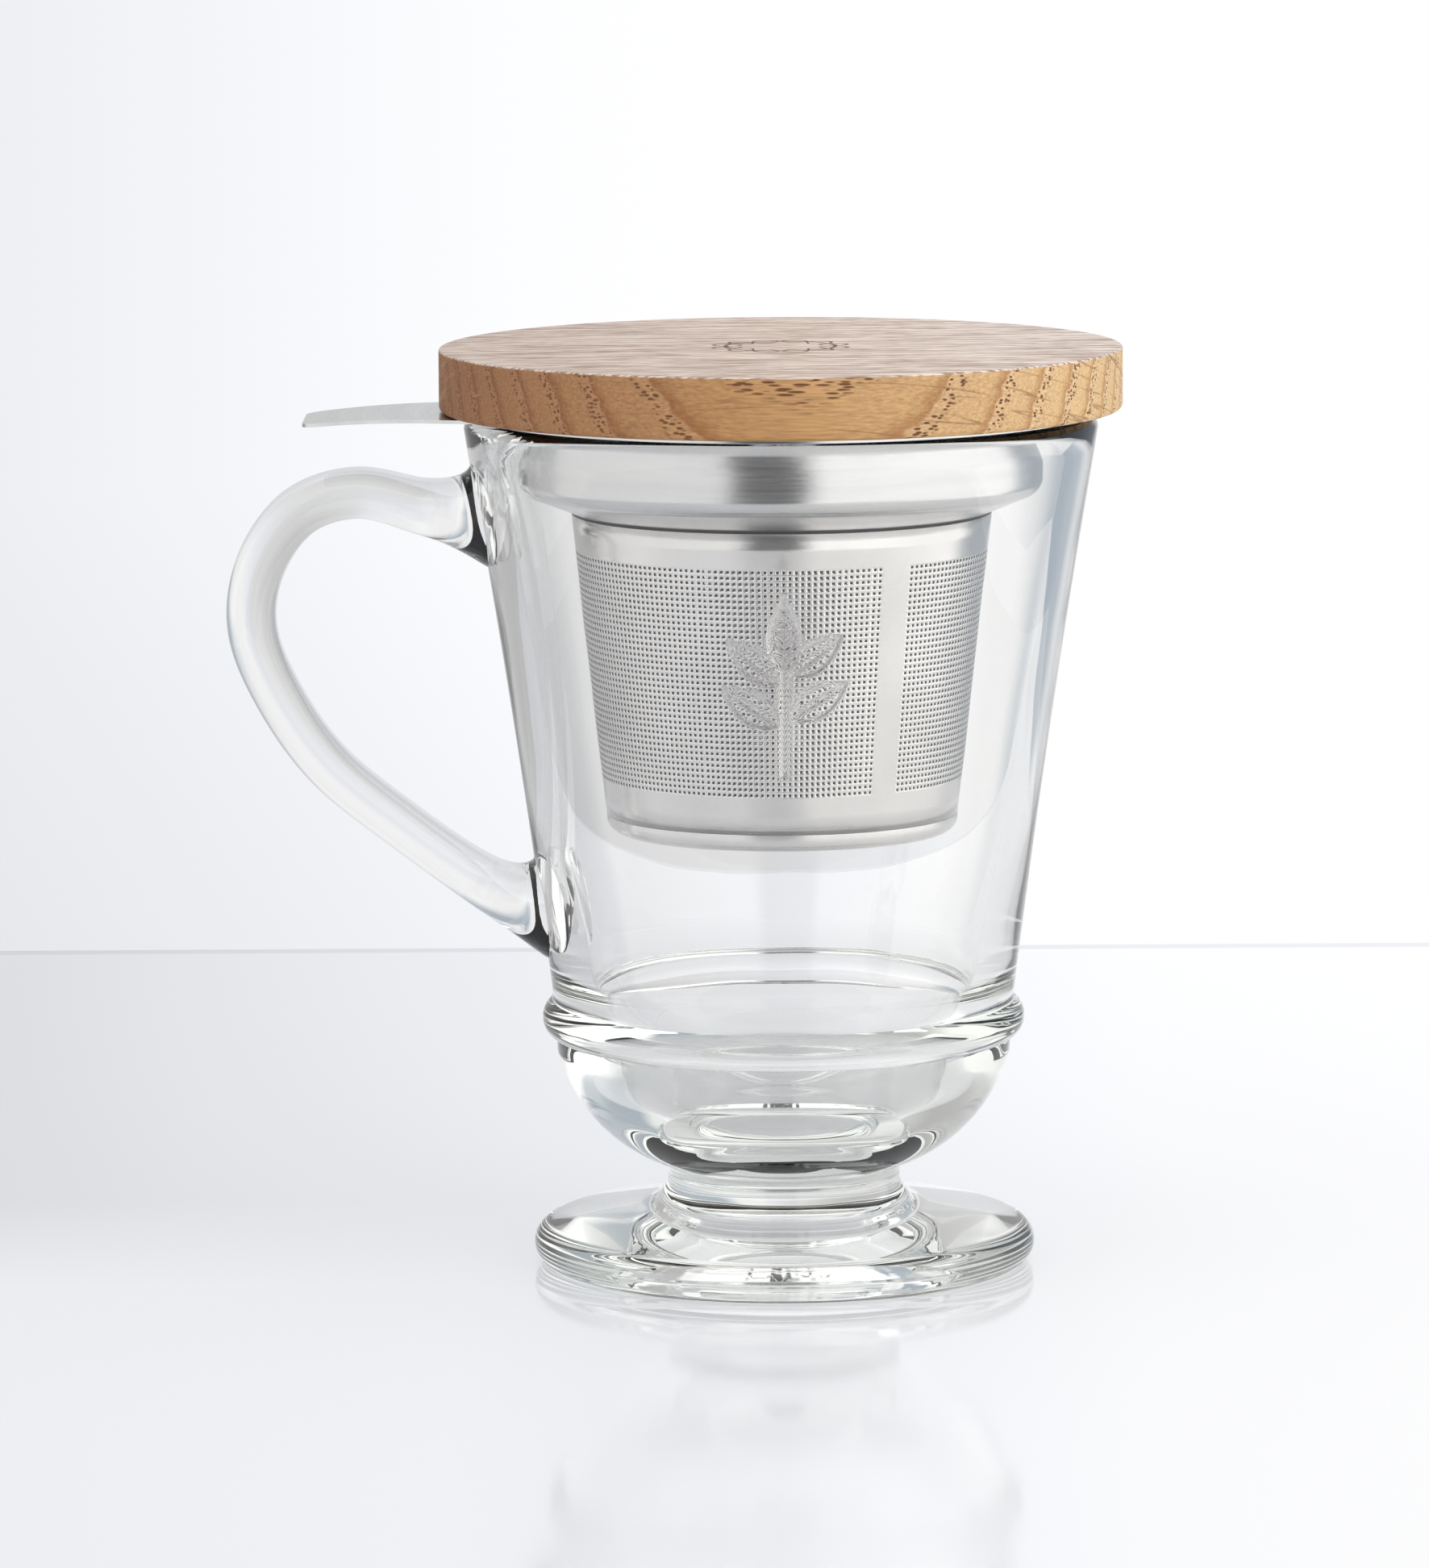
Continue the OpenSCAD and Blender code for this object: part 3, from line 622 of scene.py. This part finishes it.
def rounded(points, i, radius, steps=8):
    """Corner i of a polyline rounded to radius."""
    p, a, b = (Vector(points[k]) for k in (i, i - 1, i + 1))
    a, b = (a - p).normalized(), (b - p).normalized()
    half = math.acos(a.dot(b)) / 2
    centre = p + (a + b).normalized() * radius / math.sin(half)
    s, e = p + a * radius / math.tan(half) - centre, p + b * radius / math.tan(half) - centre
    start = math.degrees(math.atan2(s.y, s.x))
    sweep = math.degrees(math.atan2(s.x * e.y - s.y * e.x, s.dot(e)))
    return arc(centre, radius, start, start + sweep, steps)


def flange_edge():
    """Outline of flange and tab as (turn, radius), turn in degrees from the front."""
    root = (-math.sqrt(FLANGE_R ** 2 - TAB_ROOT ** 2), TAB_ROOT)
    ring_a = math.atan2(root[1], root[0]) - math.radians(9)
    inside = ((FLANGE_R - 0.8) * math.cos(ring_a), (FLANGE_R - 0.8) * math.sin(ring_a))
    half = [inside, root, (-TAB_REACH, TAB_TIP), (-TAB_REACH, 0)]
    upper = [(-TAB_REACH, 0)] + line((-TAB_REACH, 1), (-TAB_REACH, TAB_TIP - TAB_CORNER - 1), 4)
    upper += rounded(half, 2, TAB_CORNER)[::-1]
    side_start = upper[-1]
    fillet = rounded(half, 1, TAB_FILLET)[::-1]
    upper += line(side_start, fillet[0], 16)[1:] + fillet
    edge = []
    for x, y in upper:
        away = math.degrees(math.atan2(y, -x))
        edge.append((away, max(math.hypot(x, y), FLANGE_R)))
    last = edge[-1][0]
    steps = int((180 - last) / 2)
    edge += [(last + (180 - last) * i / steps, FLANGE_R) for i in range(1, steps + 1)]
    # the tab points to -X, which is a turn of -90 degrees from the front
    left = [(-90 + a, r) for a, r in edge]
    right = [(-90 - a, r) for a, r in edge[1:-1]]
    return left + right[::-1]


neck_top = WALL_TOP_Z + 0.35
corner_z = FLANGE_Z - COLLAR_H
slope = math.degrees(math.atan2(corner_z - neck_top, COLLAR_R - basket_r(neck_top)))
flat_count = 10
# the flat's points get their real reach below, from the edge's outline
path = [(FLANGE_R + 0.001 * (flat_count - i), FLANGE_Z) for i in range(flat_count)]
path += arc((COLLAR_R + BEND_R, FLANGE_Z - BEND_R), BEND_R, 90, 180, 10)
path += line((COLLAR_R, FLANGE_Z - BEND_R), (COLLAR_R, corner_z + SHOULDER_R), 4)[1:]
path += arc((COLLAR_R - SHOULDER_R, corner_z + SHOULDER_R), SHOULDER_R, 0, slope - 90, 12)
path += [(basket_r(neck_top) + 0.2, neck_top + 0.1), (lap_r(WALL_TOP_Z), WALL_TOP_Z)]
path += [(lap_r(WALL_TOP_Z - LAP), WALL_TOP_Z - LAP)]
edge = flange_edge()
reach_at = {turn: radius for turn, radius in edge}
section = sheet_section(path)
flat_r = COLLAR_R + BEND_R


def flange_reach(i, turn):
    """Radius of flat point i, counted from the edge, shared out between edge and bend."""
    share = i / flat_count
    return reach_at[turn] + (flat_r - reach_at[turn]) * share


def tab_fall(r, turn):
    """How far the tab has drooped at a point."""
    x = r * math.sin(math.radians(turn))
    past = max(0.0, -x - (TAB_REACH - TAB_BEND)) / TAB_BEND
    return -TAB_DROOP * past ** 2


mesh = bpy.data.meshes.new("infuser_collar_flange")
bm = bmesh.new()
rings = []
for k, (r, z) in enumerate(section):
    ring = []
    flat = k if k < flat_count else len(section) - 1 - k
    for turn, _ in edge:
        rr = flange_reach(flat, turn) if flat < flat_count else r
        zz = z + (tab_fall(rr, turn) if flat < flat_count else 0)
        a = math.radians(turn)
        ring.append(bm.verts.new((rr * math.sin(a) * MM, -rr * math.cos(a) * MM, zz * MM)))
    rings.append(ring)
for low, high in zip(rings, rings[1:] + rings[:1]):
    for i in range(len(edge)):
        j = (i + 1) % len(edge)
        bm.faces.new((low[i], low[j], high[j], high[i]))
bmesh.ops.recalc_face_normals(bm, faces=bm.faces)
bm.to_mesh(mesh)
bm.free()
mesh.shade_smooth()
mesh.set_sharp_from_angle(angle=math.radians(50))
collar = bpy.data.objects.new("infuser_collar_flange", mesh)
bpy.context.scene.collection.objects.link(collar)

# Drawn stainless, polished on a lathe: fine lines run round the axis, so highlights smear up
# and down, and the die leaves faint bands.
drawn_steel, tree, out = new_material("drawn_stainless_collar")
where = add(tree, "ShaderNodeTexCoord")
parts = add(tree, "ShaderNodeSeparateXYZ", Vector=where.outputs["Object"])
flat_xy = add(tree, "ShaderNodeCombineXYZ", X=parts.outputs["X"], Y=parts.outputs["Y"])
far = add(tree, "ShaderNodeVectorMath", {"operation": "LENGTH"}, i0=flat_xy.outputs[0])
round_xy = add(tree, "ShaderNodeVectorMath", {"operation": "SCALE"}, i0=flat_xy.outputs[0],
               Scale=0.04)
around = add(tree, "ShaderNodeCombineXYZ", X=far.outputs["Value"], Z=parts.outputs["Z"])
streak_at = add(tree, "ShaderNodeVectorMath", {"operation": "ADD"}, i0=around.outputs[0],
                i1=round_xy.outputs[0])
streaks = add(tree, "ShaderNodeTexNoise", Vector=streak_at.outputs[0], Scale=2600.0, Detail=4.0)
bands = add(tree, "ShaderNodeTexNoise", Vector=streak_at.outputs[0], Scale=350.0, Detail=1.0)
dull = add(tree, "ShaderNodeMapRange", Value=streaks.outputs["Fac"], To_Min=0.12, To_Max=0.3)
tone = add(tree, "ShaderNodeValToRGB", {"stops": [(0.0, srgb("C4C4C4")), (1.0, srgb("DCDCDB"))]},
           Fac=bands.outputs["Fac"])
bump = add(tree, "ShaderNodeBump", Strength=0.15, Distance=0.00003, Height=streaks.outputs["Fac"])
skin = add(tree, "ShaderNodeBsdfPrincipled", Base_Color=tone.outputs["Color"], Metallic=1.0,
           Roughness=dull.outputs["Result"], Normal=bump.outputs["Normal"])
tree.links.new(skin.outputs["BSDF"], out.inputs["Surface"])
collar.data.materials.append(drawn_steel)
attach(collar, "infuser")
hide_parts("infuser_collar")


# ---------------------------------------------------------------------------------------------
# Lid. A disc sawn and turned from one oak board, its edges eased, with a spigot below that
# drops into the collar; sanded and lightly oiled. A ring of leaves is burnt into its top.

LID_R, LID_T, ARRIS, TOP_ARRIS = 48.45, 8.8, 0.8, 0.35
LID_Z = FLANGE_Z + SHEET + 0.15
LID_TOP = LID_Z + LID_T
SPIGOT_H, SEAL_RING, SEAL_H, SEAL_GAP = 4.4, 3.2, 2.2, 0.2
SPIGOT_R = COLLAR_R - SHEET - SEAL_RING
GROOVE_Z = LID_Z - SPIGOT_H + 1.1

groove = SEAL_H + 2 * WELD_GAP
lip_r = SPIGOT_R + SEAL_RING - 1.2
section = line((0, LID_Z - SPIGOT_H), (lip_r - 0.5, LID_Z - SPIGOT_H), 5)
section += [(lip_r - 0.5, LID_Z - SPIGOT_H), (lip_r, LID_Z - SPIGOT_H + 0.5), (lip_r, GROOVE_Z)]
section += [(SPIGOT_R, GROOVE_Z), (SPIGOT_R, GROOVE_Z + groove), (lip_r, GROOVE_Z + groove)]
section += [(lip_r, LID_Z)] + line((lip_r, LID_Z), (LID_R - ARRIS, LID_Z), 3)[1:]
section += arc((LID_R - ARRIS, LID_Z + ARRIS), ARRIS, -90, 0, 6)
section += arc((LID_R - TOP_ARRIS, LID_TOP - TOP_ARRIS), TOP_ARRIS, 0, 90, 6)
section += line((LID_R - TOP_ARRIS, LID_TOP), (0, LID_TOP), 6)[1:] + [(0, LID_TOP)]
lid = lathe("oak_lid_board", section, [1.5 * i for i in range(240)])
lid.data.set_sharp_from_angle(angle=math.radians(40))

# Oak, sawn near the quarter, sanded and lightly oiled. Each year's ring starts with a band of
# open pores and ends darker and redder; the grain runs along X, so a pore is a dot at the ends
# of the board and a short dash on its face. Pores are 0.3 mm wide, rays are thin darker lines.
RING, LEAN, SKEW = 4.8, math.radians(16.7), math.radians(-3.15)
oak, tree, out = new_material("oiled_oak")
where = add(tree, "ShaderNodeTexCoord")
board = add(tree, "ShaderNodeMapping", Vector=where.outputs["Object"], Scale=(1000, 1000, 1000),
            Rotation=(LEAN, 0, SKEW), Location=(0, LID_TOP * math.sin(LEAN) + 1.3, 0))
axis = add(tree, "ShaderNodeSeparateXYZ", Vector=board).outputs
grown = {}
for name, scale, detail in [("drift", (0.006, 0.05, 0.02), 1), ("ripple", (0.08, 0.5, 0.5), 2),
                            ("fibre", (0.14, 3.2, 3.2), 3), ("streak", (0.06, 1.9, 1.9), 3),
                            ("short", (0.3, 3.6, 3.6), 2), ("ray", (0.02, 0.02, 0.55), 1),
                            ("faded", (0.05, 0.1, 0.9), 1)]:
    at = add(tree, "ShaderNodeVectorMath", {"operation": "MULTIPLY"}, i0=board, i1=scale)
    grown[name] = add(tree, "ShaderNodeTexNoise", Vector=at, Scale=1.0, Detail=detail)
across = add(tree, "ShaderNodeMath", {"operation": "MULTIPLY_ADD"}, i0=grown["drift"],
             i1=3.0, i2=axis["Y"])
rough_edge = add(tree, "ShaderNodeMath", {"operation": "MULTIPLY_ADD"}, i0=grown["ripple"],
                 i1=1.6, i2=across)
years = add(tree, "ShaderNodeMath", {"operation": "DIVIDE"}, i0=rough_edge, i1=RING)
season = add(tree, "ShaderNodeMath", {"operation": "FRACT"}, i0=years)
year = [(0.0, srgb("F0CEA0")), (0.25, srgb("EBC794")), (0.72, srgb("E8C38D")), (0.94, srgb("C6955E")),
        (1.0, srgb("F0CEA0"))]
wood = add(tree, "ShaderNodeValToRGB", {"stops": year}, Fac=season)

pore_at = add(tree, "ShaderNodeVectorMath", {"operation": "MULTIPLY"}, i0=board, i1=(0.3, 2.1, 2.1))
pores = add(tree, "ShaderNodeTexVoronoi", Vector=pore_at, Scale=1.0)
dot = add(tree, "ShaderNodeMapRange", Value=pores.outputs["Distance"], From_Min=0.46, From_Max=0.3)
early = add(tree, "ShaderNodeMapRange", Value=season, From_Min=0.29, From_Max=0.2)
open_pore = add(tree, "ShaderNodeMath", {"operation": "MULTIPLY"}, i0=dot, i1=early)

off = add(tree, "ShaderNodeMath", {"operation": "SUBTRACT"}, i0=grown["ray"], i1=0.5)
near = add(tree, "ShaderNodeMath", {"operation": "ABSOLUTE"}, i0=off)
thin = add(tree, "ShaderNodeMapRange", Value=near, From_Min=0.026, From_Max=0.006, To_Max=0.8)
shown = add(tree, "ShaderNodeMapRange", Value=grown["faded"], From_Min=0.42, From_Max=0.55)
ray_line = add(tree, "ShaderNodeMath", {"operation": "MULTIPLY"}, i0=thin, i1=shown)

# painted light and shade: the board is darker and redder at the tab's end and paler towards the other, as
# if lit more strongly from the right side
along = add(tree, "ShaderNodeMapRange", Value=axis["X"], From_Min=-LID_R, From_Max=LID_R)
painted_light_tint = add(tree, "ShaderNodeValToRGB", {"stops": [(0.0, srgb("A2806A")), (0.5, srgb("DEC9B4")),
                                                   (1.0, 1.0)]}, Fac=along)
grain = add(tree, "ShaderNodeMapRange", Value=grown["fibre"], From_Min=0.3, From_Max=0.7,
            To_Min=0.74, To_Max=1.12)
tinted = add(tree, "ShaderNodeMix", {"data_type": "RGBA", "blend_type": "MULTIPLY"}, i0=1.0,
             i6=wood, i7=painted_light_tint)
lined = add(tree, "ShaderNodeMix", {"data_type": "RGBA"}, i0=ray_line, i6=tinted.outputs[2],
            i7=srgb("A67A4C"))
fibred = add(tree, "ShaderNodeVectorMath", {"operation": "SCALE"}, i0=lined.outputs[2],
             Scale=grain)
side = add(tree, "ShaderNodeMix", {"data_type": "RGBA"}, i0=open_pore, i6=fibred.outputs[0],
           i7=srgb("704626"))

# painted sheen: the face is given paler, greyer colours than the sides, in place of the bright backdrop's
# reflection at a grazing angle; its streaks are the grain, and it takes a milder share of the painted
# light and shade along the board
mixed = add(tree, "ShaderNodeMath", {"operation": "MULTIPLY_ADD"}, i0=grown["short"], i1=0.6,
            i2=grown["streak"])
face = add(tree, "ShaderNodeValToRGB", {"stops": [(0.7, srgb("9E826F")), (0.88, srgb("F1E5DC"))]},
           Fac=mixed)
face_painted_sheen = add(tree, "ShaderNodeMix", {"data_type": "RGBA", "blend_type": "MULTIPLY"}, i0=0.35,
           i6=face, i7=painted_light_tint)
# faces that point up take the face's painted sheen; the mask reaches down onto the upper arris, which
# shows it as a painted highlight line
up = add(tree, "ShaderNodeSeparateXYZ", Vector=where.outputs["Normal"])
flat = add(tree, "ShaderNodeMapRange", Value=up.outputs["Z"], From_Min=0.2, From_Max=0.6)
toned = add(tree, "ShaderNodeMix", {"data_type": "RGBA"}, i0=flat, i6=side.outputs[2], i7=face_painted_sheen.outputs[2])

# a ring of twelve plain leaves is burnt into the face, as lines 0.6 mm wide
WREATH_R, LEAF_HALF, LEAVES, BURNT_W = 7.8, 2.0, 12, 0.6
spot = add(tree, "ShaderNodeVectorMath", {"operation": "MULTIPLY"}, i0=where.outputs["Object"],
           i1=(1000, 1000, 0))
place = add(tree, "ShaderNodeSeparateXYZ", Vector=spot).outputs
reach = add(tree, "ShaderNodeVectorMath", {"operation": "LENGTH"}, i0=spot).outputs["Value"]
from_ring = add(tree, "ShaderNodeMath", {"operation": "ABSOLUTE"}, i0=add(
    tree, "ShaderNodeMath", {"operation": "SUBTRACT"}, i0=reach, i1=WREATH_R))
turned = add(tree, "ShaderNodeMath", {"operation": "ARCTAN2"}, i0=place["Y"], i1=place["X"])
wave = add(tree, "ShaderNodeMath", {"operation": "SINE"}, i0=add(
    tree, "ShaderNodeMath", {"operation": "MULTIPLY"}, i0=turned, i1=LEAVES / 2))
swell = add(tree, "ShaderNodeMath", {"operation": "ABSOLUTE"}, i0=wave)
edge = add(tree, "ShaderNodeMath", {"operation": "ABSOLUTE"}, i0=add(
    tree, "ShaderNodeMath", {"operation": "MULTIPLY_ADD"}, i0=swell, i1=-LEAF_HALF, i2=from_ring))
nearest = add(tree, "ShaderNodeMath", {"operation": "MINIMUM"}, i0=edge, i1=from_ring)
drawn = add(tree, "ShaderNodeMapRange", Value=nearest, From_Min=BURNT_W * 0.6, From_Max=BURNT_W * 0.4)
burn = add(tree, "ShaderNodeMath", {"operation": "MULTIPLY"}, i0=drawn, i1=flat)
burnt = add(tree, "ShaderNodeMix", {"data_type": "RGBA"}, i0=add(
    tree, "ShaderNodeMath", {"operation": "MULTIPLY"}, i0=burn, i1=0.9), i6=toned.outputs[2],
    i7=srgb("4E3322"))

# pores and burnt lines lie a little below the wood, and are duller
sunk = add(tree, "ShaderNodeMath", {"operation": "MAXIMUM"}, i0=open_pore, i1=burn)
level = add(tree, "ShaderNodeMath", {"operation": "MULTIPLY_ADD"}, i0=sunk, i1=-1.0, i2=grown["fibre"])
bump = add(tree, "ShaderNodeBump", Strength=0.35, Distance=0.00012, Height=level)
dull = add(tree, "ShaderNodeMapRange", Value=level, From_Min=-0.3, From_Max=0.7, To_Min=0.75,
           To_Max=0.47)
skin = add(tree, "ShaderNodeBsdfPrincipled", Base_Color=burnt.outputs[2], Roughness=dull,
           Normal=bump)
tree.links.new(skin.outputs["BSDF"], out.inputs["Surface"])
lid.data.materials.append(oak)
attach(lid, "lid")
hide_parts("lid_board")


# ---------------------------------------------------------------------------------------------
# Lid seal. A moulded ring of white silicone stretched into the spigot's groove; its two lips
# rub on the inside of the collar.

inner_r = SPIGOT_R + WELD_GAP
outer_r = SPIGOT_R + SEAL_RING - SEAL_GAP
seal_z = GROOVE_Z + WELD_GAP
lip = SEAL_H * 0.32
section = [(inner_r, seal_z), (outer_r - 0.3, seal_z)]
section += [(outer_r, seal_z + lip / 2), (outer_r - 0.9, seal_z + lip)]
section += [(outer_r - 0.9, seal_z + SEAL_H - lip), (outer_r, seal_z + SEAL_H - lip / 2)]
section += [(outer_r - 0.3, seal_z + SEAL_H), (inner_r, seal_z + SEAL_H)]
seal = lathe("silicone_seal_ring", section, every_two)
seal.data.set_sharp_from_angle(angle=math.radians(35))
silicone, tree, out = new_material("white_silicone")
where = add(tree, "ShaderNodeTexCoord")
dust = add(tree, "ShaderNodeTexNoise", Vector=where.outputs["Object"], Scale=700.0, Detail=2.0)
dull = add(tree, "ShaderNodeMapRange", Value=dust.outputs["Fac"], To_Min=0.5, To_Max=0.62)
skin = add(tree, "ShaderNodeBsdfPrincipled", Base_Color=srgb("ECEBE6"),
           Roughness=dull.outputs["Result"], Subsurface_Weight=0.2)
tree.links.new(skin.outputs["BSDF"], out.inputs["Surface"])
seal.data.materials.append(silicone)
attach(seal, "lid")
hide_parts("lid_seal")


# ---------------------------------------------------------------------------------------------
# Stage: a glossy opal acrylic table, which ends a little behind the mug, in a pale studio. The
# studio is all in the world: a bright backdrop, soft boxes left and right of the camera, and
# dark gaps between them, which the glass and the steel show as their dark edges.

TABLE_BACK, TABLE_FRONT, TABLE_SIDE = 282.0, 450.0, 320.0
mesh = bpy.data.meshes.new("table")
corners = [(-TABLE_SIDE, -TABLE_FRONT), (TABLE_SIDE, -TABLE_FRONT), (TABLE_SIDE, TABLE_BACK),
           (-TABLE_SIDE, TABLE_BACK)]
mesh.from_pydata([(x * MM, y * MM, -0.05 * MM) for x, y in corners], [], [(0, 1, 2, 3)])
table = bpy.data.objects.new("table", mesh)
bpy.context.scene.collection.objects.link(table)


def shares(stops, start, end):
    """A ramp's stops, given at places from start to end, as shares of that length."""
    return [((place - start) / (end - start), tone) for place, tone in stops]


# Opal acrylic, polished. Painted glow: half of its white is its own emission, though no lamp lights
# it, so that the glass stands in a light shadow. Painted reflection and shade: it is greyer at the
# back, at the left and under the mug, and a thin strip along its back edge is darker.
acrylic, tree, out = new_material("opal_acrylic_sheet")
where = add(tree, "ShaderNodeTexCoord")
axis = add(tree, "ShaderNodeSeparateXYZ", Vector=where.outputs["Object"]).outputs
side = add(tree, "ShaderNodeMapRange", Value=axis["X"], From_Min=-0.3, From_Max=0.3)
# painted reflection and shade: tones from left to right near the front and at the back, greyer at the
# left and under the mug, and greyer still towards the back
front_painted_tones = [(-0.3, srgb("DEDFE3")), (-0.105, srgb("E0E1E5")), (-0.045, srgb("E2E3E7")),
              (-0.01, srgb("DEDFE3")), (0.022, srgb("E6E7EA")), (0.05, srgb("EBEBEB")),
              (0.3, srgb("EAEAEA"))]
back_painted_tones = [(-0.3, srgb("C2C3C7")), (-0.13, srgb("C5C6CA")), (-0.09, srgb("CFD0D4")),
             (-0.05, srgb("D6D7DB")), (0.03, srgb("E2E3E6")), (0.06, srgb("E8E8E9")),
             (0.3, srgb("E9E9E9"))]
near = add(tree, "ShaderNodeValToRGB", {"stops": shares(front_painted_tones, -0.3, 0.3)}, Fac=side)
far = add(tree, "ShaderNodeValToRGB", {"stops": shares(back_painted_tones, -0.3, 0.3)}, Fac=side)
depth = add(tree, "ShaderNodeMapRange", Value=axis["Y"], From_Min=-0.02, From_Max=0.045)
# a thin strip along the back edge is darker
back_edge_strip = add(tree, "ShaderNodeMapRange", Value=axis["Y"], From_Min=0.277, From_Max=0.278)
white = add(tree, "ShaderNodeMix", {"data_type": "RGBA"}, i0=depth, i6=near, i7=far).outputs[2]
tone = add(tree, "ShaderNodeMix", {"data_type": "RGBA", "blend_type": "MULTIPLY"}, i0=back_edge_strip,
           i6=white, i7=srgb("E8E9EB")).outputs[2]
# painted glow: the colour is halved for the diffuse part and given back whole as emission
half = add(tree, "ShaderNodeVectorMath", {"operation": "SCALE"}, i0=tone, Scale=0.5)
skin = add(tree, "ShaderNodeBsdfPrincipled", Base_Color=half, Roughness=0.09,
           Emission_Color=tone, Emission_Strength=0.48)
tree.links.new(skin.outputs["BSDF"], out.inputs["Surface"])
mesh.materials.append(acrylic)


world = bpy.data.worlds.new("studio")
bpy.context.scene.world = world
world.use_nodes = True
tree = world.node_tree
tree.nodes.clear()
out = tree.nodes.new("ShaderNodeOutputWorld")
ray = tree.nodes.new("ShaderNodeLightPath").outputs
way = add(tree, "ShaderNodeSeparateXYZ", Vector=tree.nodes.new("ShaderNodeTexCoord").outputs["Generated"])
turn = add(tree, "ShaderNodeMath", {"operation": "ARCTAN2"}, i0=way.outputs["X"],
           i1=way.outputs["Y"])
degrees = add(tree, "ShaderNodeMath", {"operation": "DEGREES"}, i0=turn)
# degrees run from the middle of the backdrop to the right; its grey side reaches farther low down
low = add(tree, "ShaderNodeMath", {"operation": "MINIMUM"}, i0=add(
    tree, "ShaderNodeMath", {"operation": "MULTIPLY_ADD"}, i0=way.outputs["Z"], i1=40.0, i2=4.2), i1=0.0)
degrees = add(tree, "ShaderNodeMath", i0=degrees, i1=low)
round_room = add(tree, "ShaderNodeMapRange", Value=degrees, From_Min=-180, From_Max=180)
wall_stops = [
    (-180, 0.10), (-163, 0.10), (-157, 1.15), (-75, 1.05), (-60, 0.5), (-24, 0.45), (-12, 0.6),
    (-5, 0.7), (0, srgb("E4E5E9")), (4, srgb("EDEEF3")), (7, 0.9), (15, 0.9), (22, srgb("A8B2BC")),
    (56, srgb("A8B2BC")), (66, 1.5), (163, 1.5), (171, 0.10), (180, 0.10)]
walls = add(tree, "ShaderNodeValToRGB", {"stops": shares(wall_stops, -180, 180)}, Fac=round_room)
ceiling = add(tree, "ShaderNodeMapRange", Value=way.outputs["Z"], From_Min=0.55, From_Max=0.75)
room = add(tree, "ShaderNodeMix", {"data_type": "RGBA"}, i0=ceiling, i6=walls,
           i7=(1.25, 1.25, 1.25, 1)).outputs[2]
backdrop_stops = [(-180, srgb("F2F3F5")), (-8, srgb("E4E5E9")), (-4.8, srgb("EEEFF3")),
                  (-3.2, srgb("F5F6FA")), (-1.8, srgb("FBFCFF")), (-1.0, 1.0), (180, 1.0)]
backdrop = add(tree, "ShaderNodeValToRGB", {"stops": shares(backdrop_stops, -180, 180)},
               Fac=round_room)
seen = add(tree, "ShaderNodeMix", {"data_type": "RGBA"}, i0=ray["Is Camera Ray"], i6=room,
           i7=backdrop).outputs[2]
sky = add(tree, "ShaderNodeBackground", Color=seen, Strength=1.0)
tree.links.new(sky.outputs[0], out.inputs["Surface"])

CAMERA_AWAY, CAMERA_X, CAMERA_UP, AIM_UP = 1200.0, -9.7, 238.7, 68.9
CAMERA_ROLL, LENS = -0.33, 195.0
camera = bpy.data.objects.new("camera", bpy.data.cameras.new("camera"))
bpy.context.scene.collection.objects.link(camera)
bpy.context.scene.camera = camera
camera.location = (CAMERA_X * MM, -CAMERA_AWAY * MM, CAMERA_UP * MM)
aim = Vector((CAMERA_X * MM, 0, AIM_UP * MM))
camera.rotation_euler = (aim - camera.location).to_track_quat("-Z", "Y").to_euler()
camera.rotation_euler.rotate_axis("Z", math.radians(CAMERA_ROLL))
camera.data.sensor_width = 36
camera.data.lens = LENS
camera.data.clip_start, camera.data.clip_end = 0.05, 20

scene = bpy.context.scene
scene.view_settings.view_transform = "Standard"
scene.cycles.max_bounces = 24
scene.cycles.transmission_bounces = 24
scene.cycles.glossy_bounces = 8
scene.cycles.use_denoising = True
